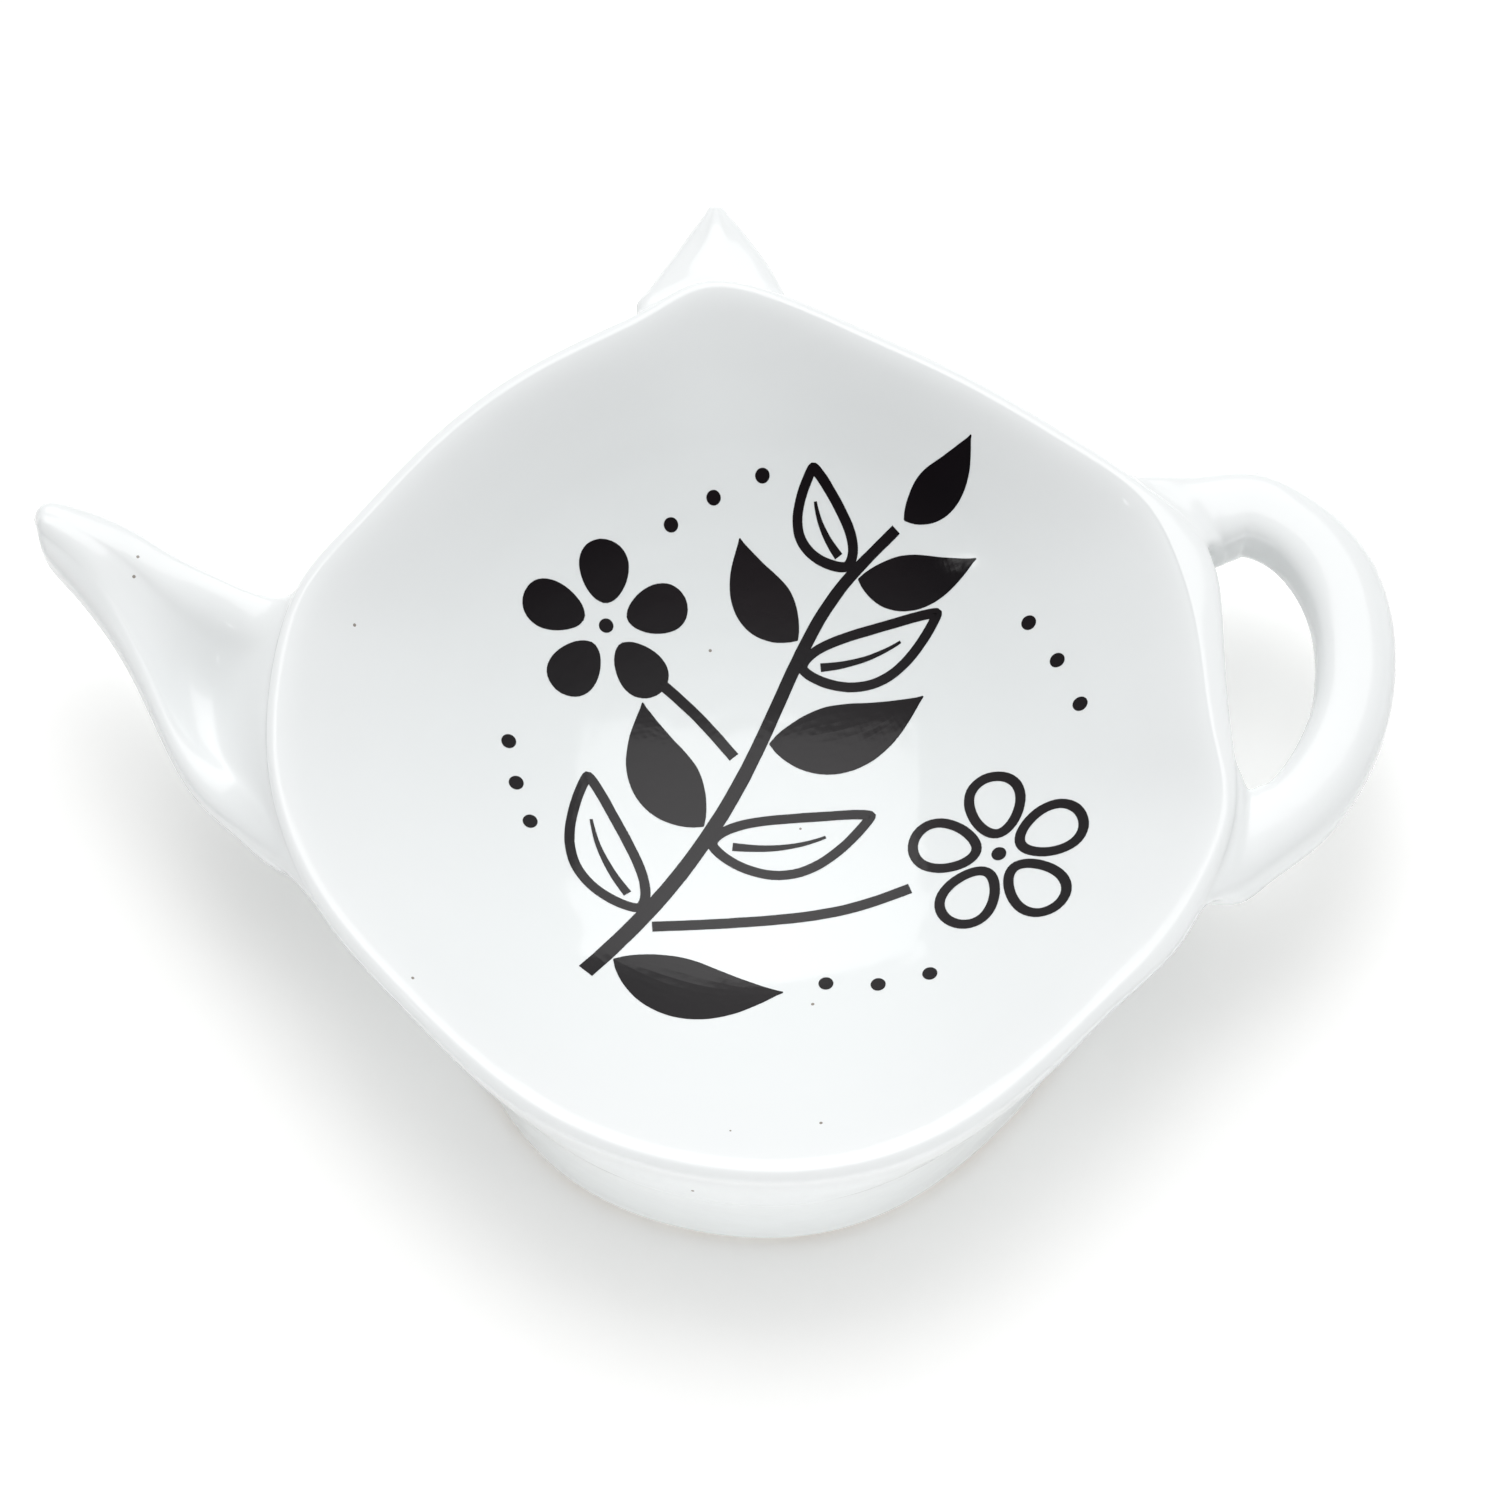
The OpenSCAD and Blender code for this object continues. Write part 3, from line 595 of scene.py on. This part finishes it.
glazeLook = {
    "thin": (0.888, 0.906, 0.91, 1),        # over edges and high places
    "pooled": (0.85, 0.885, 0.888, 1),      # where the glaze ran together
    "poolHeights": (0.017, 0.006),          # pooling starts at the first height and is full at the second
    "poolShare": 0.75,
    "cloudShare": 0.35,
    "speckColour": (0.3, 0.27, 0.24, 1),
    "roughness": 0.07,
    "bump": 0.035,
    "bumpDepth": 0.0005,
    "waves": 11.0,                          # slow waves and turning rings against the fine ripple
    "rings": 0.5,
    "ringScale": 100.0,
    "ringUnevenness": 2.5,
}
glaze, tree, shader = newMaterial("porcelainGlaze")
marks = addNode(tree, "ShaderNodeGroup", node_tree=kilnMarks).outputs
where = addNode(tree, "ShaderNodeTexCoord").outputs["Object"]
height = addNode(tree, "ShaderNodeSeparateXYZ", {"Vector": where}).outputs["Z"]
poolFrom, poolTo = glazeLook["poolHeights"]
pool = addNode(tree, "ShaderNodeMapRange", {"Value": height, "From Min": poolFrom, "From Max": poolTo,
                                            "To Min": 0.0, "To Max": glazeLook["poolShare"]})
uneven = addMath(tree, "MULTIPLY_ADD", marks["Cloud"], glazeLook["cloudShare"], pool.outputs["Result"])
colour = mixColours(tree, uneven, glazeLook["thin"], glazeLook["pooled"])
colour = mixColours(tree, marks["Speck"], colour, glazeLook["speckColour"])
centred = addNode(tree, "ShaderNodeMapping", {"Vector": where, "Location": tuple(-shift * mm)})
turned = addNode(tree, "ShaderNodeTexWave", {
    "Vector": centred.outputs[0], "Scale": glazeLook["ringScale"], "Distortion": glazeLook["ringUnevenness"],
    "Detail": 2.0}, wave_type="RINGS", rings_direction="Z")
wavy = addMath(tree, "MULTIPLY_ADD", marks["Cloud"], glazeLook["waves"], marks["Ripple"])
wavy = addMath(tree, "MULTIPLY_ADD", turned.outputs["Fac"], glazeLook["rings"], wavy)
finishMaterial(tree, shader, colour, wavy, glazeLook)

printLook = {
    "black": (0.004, 0.004, 0.005, 1),
    "warm": (0.009, 0.005, 0.007, 1),
    "cloudScale": 70.0,
    "roughness": 0.09,
    "shine": 0.225,
    "bump": 0.05,
    "bumpDepth": 0.0005,
}
ink, tree, shader = newMaterial("firedBlack")
marks = addNode(tree, "ShaderNodeGroup", {"Cloud scale": printLook["cloudScale"]},
                node_tree=kilnMarks).outputs
colour = mixColours(tree, marks["Cloud"], printLook["black"], printLook["warm"])
finishMaterial(tree, shader, colour, marks["Ripple"], printLook)
shader.inputs["Specular IOR Level"].default_value = printLook["shine"]

biscuitLook = {
    "pale": (0.82, 0.77, 0.69, 1),
    "toasted": (0.66, 0.57, 0.46, 1),
    "toastFrom": 0.6,
    "toastTo": 0.95,
    "grainScale": 2600.0,
    "blotchScale": 160.0,
    "grainShare": 0.4,
    "roughness": 0.88,
    "bump": 0.5,
    "bumpDepth": 0.0001,
}
biscuit, tree, shader = newMaterial("dryBiscuit")
where = addNode(tree, "ShaderNodeTexCoord").outputs["Object"]
grain = addNode(tree, "ShaderNodeTexNoise", {"Vector": where, "Scale": biscuitLook["grainScale"],
                                             "Detail": 4.0}).outputs["Fac"]
blotch = addNode(tree, "ShaderNodeTexNoise", {"Vector": where, "Scale": biscuitLook["blotchScale"],
                                              "Detail": 3.0}).outputs["Fac"]
both = addMath(tree, "MULTIPLY_ADD", grain, biscuitLook["grainShare"], blotch)
toast = addNode(tree, "ShaderNodeMapRange", {"Value": both, "From Min": biscuitLook["toastFrom"],
                                             "From Max": biscuitLook["toastTo"]})
colour = mixColours(tree, toast.outputs["Result"], biscuitLook["pale"], biscuitLook["toasted"])
finishMaterial(tree, shader, colour, grain, biscuitLook)
print("materials made")


# the hollow follows one rule: a power of the way out, with a soft fall from the crest

tree, given, put = newShapeTree("hollowRule", [
    ("Floor height", "Float", 0.0), ("Rise", "Float", 0.0), ("Power", "Float", 2.0),
    ("Lip share", "Float", 0.03), ("Smoothing", "Int", 2)])
way = readAttribute(tree, "reach", "FLOAT")
inside = addMath(tree, "GREATER_THAN", way, -0.5)
back = addMath(tree, "DIVIDE", addMath(tree, "SUBTRACT", way, 1.0), given["Lip share"])
lip = addMath(tree, "MULTIPLY", given["Power"], given["Lip share"])
fall = addMath(tree, "MULTIPLY", lip, addMath(tree, "EXPONENT", back))
shape = addMath(tree, "SUBTRACT", addMath(tree, "POWER", way, given["Power"]), fall)
height = addMath(tree, "MULTIPLY_ADD", shape, given["Rise"], given["Floor height"])
here = addNode(tree, "ShaderNodeSeparateXYZ", {0: addNode(tree, "GeometryNodeInputPosition").outputs[0]})
lifted = addNode(tree, "ShaderNodeCombineXYZ", {"X": here.outputs["X"], "Y": here.outputs["Y"], "Z": height})
hollowed = addNode(tree, "GeometryNodeSetPosition", {"Geometry": given["Geometry"], "Selection": inside,
                                                     "Position": lifted.outputs[0]})
skin = addNode(tree, "GeometryNodeSubdivisionSurface", {"Mesh": hollowed.outputs[0],
                                                        "Level": given["Smoothing"]})
soft = addNode(tree, "GeometryNodeSetShadeSmooth", {0: skin.outputs[0]})
finishShapeTree(tree, soft, given, put)
grow(body, tree, {"Floor height": dish["floorHeight"] * mm, "Rise": bowlRise * mm, "Power": dish["bowlPower"],
                  "Lip share": lipShare, "Smoothing": dish["smoothing"], "Material": glaze})
print("body:", len(body.data.polygons), "faces")


# the dry ring under the foot wall follows the wall's line

footRing = {"width": 2.0, "height": 1.05, "corner": 0.18}
ringPath = footAt(-(foot["inset"] + foot["wall"]) / 2) + shift[:2]
dryRing = meshObject("dryFootRing", np.column_stack([ringPath, np.zeros(count)]), [])
dryRing.data.edges.add(count)
dryRing.data.edges.foreach_set("vertices", [v for i in range(count) for v in (i, (i + 1) % count)])
tree, given, put = newShapeTree("ringOnPath", [
    ("Width", "Float", 0.002), ("Height", "Float", 0.001), ("Corner", "Float", 0.0002)])
path = addNode(tree, "GeometryNodeMeshToCurve", {"Mesh": given["Geometry"]})
upright = addNode(tree, "GeometryNodeSetCurveNormal", {"Curve": path.outputs[0]}, mode="Z_UP")
bar = addNode(tree, "GeometryNodeCurvePrimitiveQuadrilateral", {
    "Width": given["Width"], "Height": given["Height"]}, mode="RECTANGLE")
eased = addNode(tree, "GeometryNodeFilletCurve", {"Curve": bar.outputs[0], "Radius": given["Corner"]},
                mode="POLY")
swept = addNode(tree, "GeometryNodeCurveToMesh", {"Curve": upright.outputs[0],
                                                  "Profile Curve": eased.outputs[0]})
lift = addNode(tree, "ShaderNodeCombineXYZ", {"Z": addMath(tree, "MULTIPLY", given["Height"], 0.5)})
raised = addNode(tree, "GeometryNodeSetPosition", {"Geometry": swept.outputs[0], "Offset": lift.outputs[0]})
finishShapeTree(tree, raised, given, put)
grow(dryRing, tree, {"Width": footRing["width"] * mm, "Height": footRing["height"] * mm,
                     "Corner": footRing["corner"] * mm, "Material": biscuit})
print("foot ring:", len(dryRing.data.polygons), "faces")


# the print: flat motifs, laid on the glaze as thin closed films

sprig = {
    "field": 28.0,                  # half the picture's width, which the places below are shares of
    "middle": (0.14, 0.02),
    "line": 1.0, "stem": 1.5, "petal": 5.6, "dot": 1.3,
    "thinLine": 0.9,                # the drawn leaves' and petals' line, as a share of the other lines
    "leafLength": 15.0, "leafWidth": 6.2,
    "leafSwell": 0.78,              # less than 1 puts a leaf's widest place nearer to the stem
    "outlineSwell": 0.8,            # less than 1 makes a drawn leaf's outline fuller at its ends
    "petalMiddle": 0.86,            # a petal's middle from the blossom's, and its half width, in petals
    "petalHalf": 0.39,
    "petalTaper": 0.2,              # how much wider a petal is at its outer end
    "leafTip": 0.12, "petalTip": 0.5, "dotTip": 0.06,       # least widths of the filled shapes
    "lift": 0.03, "depth": 0.12,    # how far the film stands over the glaze, and reaches into it
    "wobble": 0.09, "seed": 4.0,    # unevenness of the drawn edges
    "stemPlaces": [(-0.68, -0.76), (-0.42, -0.46), (-0.18, -0.1), (0, 0.26), (0.16, 0.52), (0.36, 0.7)],
    "twigs": [[(-0.19, 0), (-0.3, 0.14), (-0.42, 0.26)],
              [(-0.47, -0.59), (-0.2, -0.58), (0.1, -0.56), (0.34, -0.5)]],
    # leaves: place along the stem, turn in degrees, length and width as shares, and bow
    "solidLeaves": [(0.04, -62, 1, 1, 0.1), (0.31, 56, 0.86, 1, -0.1), (0.47, -50, 0.95, 1.05, 0.1),
                    (0.66, 56, 0.7, 0.85, -0.1), (0.84, -44, 0.7, 0.8, 0.1), (1, 4, 0.55, 0.7, 0.08)],
    "drawnLeaves": [(0.14, 58, 0.9, 1, -0.1), (0.29, -48, 0.95, 1.05, 0.1), (0.61, -46, 0.85, 0.95, 0.1),
                    (0.85, 62, 0.6, 0.85, -0.1)],
    "veinFrom": 0.12, "veinTo": 0.7,
    "blossoms": [(-0.58, 0.44), (0.62, -0.42)],     # the first is filled, the second drawn
    "dots": [(-0.9, 0.04), (-0.88, -0.1), (-0.84, -0.23), (-0.22, 0.84), (-0.06, 0.9), (-0.36, 0.76),
             (0.84, 0.2), (0.9, 0.04), (0.76, 0.34), (0.06, -0.82), (0.22, -0.84), (0.38, -0.82)],
}
# how many steps each kind of line is drawn in
steps = {"stem": 12, "twig": 9, "leaf": 28, "drawnLeaf": 72, "vein": 16, "petal": 20, "drawnPetal": 40,
         "dot": 12}


def field(s):
    return (np.array(s) + sprig["middle"]) * sprig["field"]


class Motif:
    def __init__(self):
        self.points, self.faces = [], []

    def strip(self, line, widths, across=2, closed=False):
        # a flat band along a line, so many faces across
        line = np.asarray(line, float)
        n = len(line)
        first = len(self.points)
        for i in range(n):
            if closed:
                d = unit(line[(i + 1) % n] - line[i - 1])
            else:
                d = unit(line[min(i + 1, n - 1)] - line[max(i - 1, 0)])
            normal = np.array([-d[1], d[0]])
            for k in range(across + 1):
                p = line[i] + normal * widths[i] * (k / across - 0.5)
                self.points.append((p[0], p[1], 0))
        for i in range(n if closed else n - 1):
            for k in range(across):
                a, b = first + i * (across + 1) + k, first + (i + 1) % n * (across + 1) + k
                self.faces.append((a, b, b + 1, a + 1))

    def build(self, name):
        return meshObject(name, np.array(self.points) + shift, self.faces)

    def hold(self, name):
        # a motif that lies at the origin for the trees to repeat
        made = meshObject(name, self.points, self.faces)
        made.hide_render = True
        return made


stemLine = openCurve([field(s) for s in sprig["stemPlaces"]], steps["stem"])


def stemAt(s):
    x = s * (len(stemLine) - 1)
    i = min(int(x), len(stemLine) - 2)
    return mix(stemLine[i], stemLine[i + 1], x - i)


def headingAt(s):
    near = 0.04
    d = stemAt(min(s + near, 1)) - stemAt(max(s - near, 0))
    return math.atan2(d[1], d[0])


def ahead(a):
    return np.array([math.cos(a), math.sin(a)])


def leafPoint(leaf, s):
    place, turn, long, wide, bow = leaf
    a = headingAt(place) + math.radians(turn)
    length = sprig["leafLength"] * long
    sideways = length * bow * math.sin(math.pi * s)
    return stemAt(place) + ahead(a) * (1 + length * s) - ahead(a + math.pi / 2) * sideways


def swell(s):
    # a leaf's width along its length, as a share of its widest
    return max(math.sin(math.pi * s ** sprig["leafSwell"]), 0)


stem = Motif()
taper = np.linspace(0, 1, len(stemLine))
stem.strip(stemLine, [mix(sprig["stem"], sprig["line"], s) for s in taper])
for twig in sprig["twigs"]:
    line = openCurve([field(s) for s in twig], steps["twig"])
    stem.strip(line, [sprig["line"]] * len(line))

solidLeaves = Motif()
shares = [i / steps["leaf"] for i in range(steps["leaf"] + 1)]
for leaf in sprig["solidLeaves"]:
    solidLeaves.strip([leafPoint(leaf, s) for s in shares],
                      [max(sprig["leafWidth"] * leaf[3] * swell(s), sprig["leafTip"]) for s in shares],
                      across=8)

drawnLeaves = Motif()
vein = np.linspace(sprig["veinFrom"], sprig["veinTo"], steps["vein"])
for leaf in sprig["drawnLeaves"]:
    sideWay = ahead(headingAt(leaf[0]) + math.radians(leaf[1]) + math.pi / 2)
    halfLeaf = (sprig["leafWidth"] * leaf[3] - sprig["line"]) / 2
    outline = []
    for i in range(steps["drawnLeaf"]):
        turn = 2 * math.pi * i / steps["drawnLeaf"]
        s = (1 - math.cos(turn)) / 2
        out = np.sign(math.sin(turn)) * halfLeaf * swell(s) ** sprig["outlineSwell"]
        outline.append(leafPoint(leaf, s) - sideWay * out)
    drawnLeaves.strip(outline, [sprig["line"] * sprig["thinLine"]] * len(outline), closed=True)
    drawnLeaves.strip([leafPoint(leaf, s) for s in vein],
                      [sprig["line"] * (1 - s) * sprig["thinLine"] for s in vein])


def petalPoint(t):
    wide = sprig["petalHalf"] * math.sin(t) * (1 + sprig["petalTaper"] * math.cos(t))
    return np.array([sprig["petalMiddle"] + math.cos(t) / 2, wide]) * sprig["petal"]


petal, ringPetal, dot = Motif(), Motif(), Motif()
half = [math.pi * (1 - i / steps["petal"]) for i in range(steps["petal"] + 1)]
petal.strip([(petalPoint(t) + petalPoint(-t)) / 2 for t in half],
            [max(2 * petalPoint(t)[1], sprig["petalTip"]) for t in half], across=8)
ringPetal.strip([petalPoint(2 * math.pi * i / steps["drawnPetal"]) for i in range(steps["drawnPetal"])],
                [sprig["line"] * sprig["thinLine"]] * steps["drawnPetal"], closed=True)
half = [math.pi * i / steps["dot"] for i in range(steps["dot"] + 1)]
dot.strip([(-sprig["dot"] / 2 * math.cos(t), 0) for t in half],
          [max(sprig["dot"] * math.sin(t), sprig["dotTip"]) for t in half], across=4)

# one film: drop the flat motif on the glaze, give it thickness and close it
filmOnGlaze, given, put = newShapeTree("filmOnGlaze", [
    ("Glazed body", "Object", None), ("Lift", "Float", 0.00003), ("Depth", "Float", 0.0001),
    ("Wobble", "Float", 0.0), ("Wobble scale", "Float", 620.0), ("Seed", "Float", 0.0)])
tree = filmOnGlaze
here = addNode(tree, "GeometryNodeInputPosition").outputs[0]
noise = addNode(tree, "ShaderNodeTexNoise", {
    "Vector": here, "W": given["Seed"], "Scale": given["Wobble scale"], "Detail": 2.0}, noise_dimensions="4D")
centred = addVectorMath(tree, "SUBTRACT", {0: noise.outputs["Color"], 1: (0.5, 0.5, 0.5)})
scaled = addVectorMath(tree, "SCALE", {0: centred, "Scale": given["Wobble"]})
flat = addVectorMath(tree, "MULTIPLY", {0: scaled, 1: (1, 1, 0)})
drawn = addNode(tree, "GeometryNodeSetPosition", {"Geometry": given["Geometry"], "Offset": flat})
dropFrom = 0.05         # metres over the table, well above the ware
above = addVectorMath(tree, "ADD", {0: here, 1: (0, 0, dropFrom)})
ware = addNode(tree, "GeometryNodeObjectInfo", {"Object": given["Glazed body"]})
ray = addNode(tree, "GeometryNodeRaycast", {
    "Target Geometry": ware.outputs["Geometry"], "Source Position": above, "Ray Direction": (0, 0, -1),
    "Ray Length": 2 * dropFrom})
down = addNode(tree, "ShaderNodeCombineXYZ", {"Z": given["Depth"]})
sunk = addVectorMath(tree, "SUBTRACT", {0: ray.outputs["Hit Position"], 1: down.outputs[0]})
laid = addNode(tree, "GeometryNodeSetPosition", {"Geometry": drawn.outputs[0], "Position": sunk})
up = addNode(tree, "ShaderNodeCombineXYZ", {"Z": addMath(tree, "ADD", given["Lift"], given["Depth"])})
raised = addNode(tree, "GeometryNodeExtrudeMesh", {
    "Mesh": laid.outputs[0], "Offset": up.outputs[0], "Offset Scale": 1.0, "Individual": False}, mode="FACES")
under = addNode(tree, "GeometryNodeFlipFaces", {0: laid.outputs[0]})
joined = addNode(tree, "GeometryNodeJoinGeometry")
tree.links.new(raised.outputs["Mesh"], joined.inputs[0])
tree.links.new(under.outputs[0], joined.inputs[0])
closed = addNode(tree, "GeometryNodeMergeByDistance", {"Geometry": joined.outputs[0], "Distance": 0.000001})
finishShapeTree(tree, closed, given, put)

# repeated motifs are set on points: the points' own values give the turn and the kind
motifOnPoints, given, put = newShapeTree("motifOnPoints", [
    ("Filled motif", "Object", None), ("Drawn motif", "Object", None)])
tree = motifOnPoints
kind = readAttribute(tree, "drawn", "BOOLEAN")
spin = addNode(tree, "ShaderNodeCombineXYZ", {"Z": readAttribute(tree, "turn", "FLOAT")})
plain = addNode(tree, "FunctionNodeBooleanMath", {0: kind}, operation="NOT").outputs[0]
joined = addNode(tree, "GeometryNodeJoinGeometry")
for label, chosen in (("Filled motif", plain), ("Drawn motif", kind)):
    motif = addNode(tree, "GeometryNodeObjectInfo", {"Object": given[label], "As Instance": True})
    placed = addNode(tree, "GeometryNodeInstanceOnPoints", {
        "Points": given["Geometry"], "Selection": chosen, "Instance": motif.outputs["Geometry"],
        "Rotation": spin.outputs[0]})
    tree.links.new(placed.outputs[0], joined.inputs[0])
finishShapeTree(tree, joined, given, put)


def repeated(name, places, spins, kinds, filled, drawnOne):
    made = meshObject(name, [(*(field(s) + shift[:2]), 0) for s in places], [])
    made.data.attributes.new("turn", "FLOAT", "POINT").data.foreach_set("value", spins)
    made.data.attributes.new("drawn", "BOOLEAN", "POINT").data.foreach_set("value", kinds)
    return grow(made, motifOnPoints, {"Filled motif": filled, "Drawn motif": drawnOne, "Material": ink})


holders = [petal.hold("flatPetal"), ringPetal.hold("flatRingPetal"), dot.hold("flatDot")]
petalTurns = [math.radians(90 + 72 * k) for k in range(5)]
blossoms = repeated("printBlossoms", [p for p in sprig["blossoms"] for k in range(5)], petalTurns * 2,
                    [False] * 5 + [True] * 5, holders[0], holders[1])
dotPlaces = sprig["dots"] + sprig["blossoms"]       # a blossom has a dot in its middle
dots = repeated("printDots", dotPlaces, [0.0] * len(dotPlaces), [False] * len(dotPlaces),
                holders[2], holders[2])
prints = {"print_stem": stem.build("printStem"), "print_solid_leaves": solidLeaves.build("printSolidLeaves"),
          "print_drawn_leaves": drawnLeaves.build("printDrawnLeaves"), "print_blossoms": blossoms,
          "print_dots": dots}
for number, film in enumerate(prints.values()):
    grow(film, filmOnGlaze, {"Glazed body": body, "Lift": sprig["lift"] * mm, "Depth": sprig["depth"] * mm,
                             "Wobble": sprig["wobble"] * mm, "Seed": sprig["seed"] + number, "Material": ink})
for holder in holders:
    bpy.data.objects.remove(holder)
print("print laid:", sum(len(film.data.polygons) for film in prints.values()), "faces")


# what stands for what

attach(body, "root")
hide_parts("basin", "foot_wall", "spout", "handle", "lid_knob")
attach(dryRing, "root")
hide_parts("foot_ring")
for node, film in prints.items():
    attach(film, "root")
    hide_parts(node)


# studio

studio = {
    # soft patches of sky: turn from straight behind and height over the table in degrees, tightness, strength
    "patches": [(0, 38, 8, 1.15), (0, 62, 8, 1.37), (0, 90, 8, 0.12), (0, 45, 45, 0.5), (45, 20, 8, 0.52),
                (-45, 20, 8, 0.56), (50, 50, 8, 0.14), (65, 58, 16, 0.16), (-90, 18, 8, 0.45)],
    # lamps: name, width and height, watts, distance in metres, turn and height over the table
    "lamps": [("frontCard", (1.0, 0.3), 2.3, 0.5, 180, 15), ("sideCard", (0.9, 0.4), 0.79, 0.8, 90, 20),
              ("windowLight", (0.68, 0.68), 2.32, 0.95, 3, 52), ("spark", (0.03, 0.05), 0.02, 0.8, -101, 58)],
    "tableHalf": 2500,                      # half the table's side
    "tableColour": (0.8, 0.8, 0.795, 1),    # what lights the object from below
    "tableSeen": (1.0, 1.0, 0.99, 1),       # what is seen, mirrored and looked through
    "tableGlow": 0.12,
    "tableRoughness": 0.9,
    "tableShine": 0.1,
}
h = studio["tableHalf"]
table = meshObject("table", [(-h, -h, 0), (h, -h, 0), (h, h, 0), (-h, h, 0)], [(0, 1, 2, 3)])
whiteTable, tree, shader = newMaterial("whiteTable")
shader.inputs["Roughness"].default_value = studio["tableRoughness"]
shader.inputs["Specular IOR Level"].default_value = studio["tableShine"]
path = addNode(tree, "ShaderNodeLightPath").outputs
seen = path["Is Camera Ray"]
# mirrored and looked through, the table stays white
for kind in ("Is Glossy Ray", "Is Transmission Ray"):
    seen = addMath(tree, "MAXIMUM", seen, path[kind])
colour = mixColours(tree, seen, studio["tableColour"], studio["tableSeen"])
tree.links.new(colour, shader.inputs["Base Color"])
tree.links.new(addMath(tree, "MULTIPLY", seen, studio["tableGlow"]), shader.inputs["Emission Strength"])
shader.inputs["Emission Color"].default_value = (1, 1, 1, 1)
table.data.materials.append(whiteTable)


def towards(turn, height):
    a, e = math.radians(turn), math.radians(height)
    return Vector((math.sin(a) * math.cos(e), math.cos(a) * math.cos(e), math.sin(e)))


world = bpy.data.worlds.new("studioDome")
bpy.context.scene.world = world
world.use_nodes = True
tree = world.node_tree
tree.nodes.clear()
way = addNode(tree, "ShaderNodeTexCoord").outputs["Generated"]
sky = 0.0
for turn, height, tightness, strength in studio["patches"]:
    near = addNode(tree, "ShaderNodeVectorMath", {0: way, 1: towards(turn, height)}, operation="DOT_PRODUCT")
    fade = addMath(tree, "MULTIPLY_ADD", near.outputs["Value"], tightness, -tightness)
    sky = addMath(tree, "MULTIPLY_ADD", addMath(tree, "EXPONENT", fade), strength, sky)
# only camera rays see plain white: what the glaze mirrors is the sky that lights it
paths = addNode(tree, "ShaderNodeLightPath")
# a Mix node's inputs 2 and 3 are its numbers
level = addNode(tree, "ShaderNodeMix", {"Factor": paths.outputs["Is Camera Ray"], 2: sky, 3: 1.0},
                data_type="FLOAT")
glow = addNode(tree, "ShaderNodeBackground", {"Color": (1, 1, 1, 1), "Strength": level.outputs[0]})
addNode(tree, "ShaderNodeOutputWorld", {"Surface": glow.outputs[0]})


def addLamp(name, size, watts, distance, turn, height):
    data = bpy.data.lights.new(name, "AREA")
    data.shape = "RECTANGLE"
    data.size, data.size_y = size
    data.energy = watts
    made = bpy.data.objects.new(name, data)
    bpy.context.scene.collection.objects.link(made)
    made.location = towards(turn, height) * distance
    made.rotation_euler = towards(turn, height).to_track_quat("Z", "Y").to_euler()


for lamp in studio["lamps"]:
    addLamp(*lamp)

# the photograph's camera: focal length and picture in pixels, clip in metres, the rest in degrees and mm
camera = {"elevation": 68.0, "distance": 430.0, "aim": (0.0, 0.0, 8.0), "focal": 4864.0, "picture": 1500.0,
          "right": (0.9991, -0.0433, 0.0), "sensor": 36.0, "clip": (0.01, 20.0)}
aim = Vector(camera["aim"]) + Vector(shift)
right = Vector(camera["right"]).normalized()
flatAhead = Vector((-right.y, right.x, 0))
tilt = math.radians(camera["elevation"])
forward = flatAhead * math.cos(tilt) - Vector((0, 0, 1)) * math.sin(tilt)
up = right.cross(forward)
lens = bpy.data.cameras.new("photoCamera")
lens.sensor_width = camera["sensor"]
lens.lens = camera["focal"] / camera["picture"] * camera["sensor"]
lens.clip_start, lens.clip_end = camera["clip"]
shot = bpy.data.objects.new("photoCamera", lens)
bpy.context.scene.collection.objects.link(shot)
shot.matrix_world = Matrix.Translation((aim - forward * camera["distance"]) * mm) @ Matrix(
    (right, up, -forward)).transposed().to_4x4()
bpy.context.scene.camera = shot
bpy.context.scene.view_settings.view_transform = "Standard"
print("studio set")
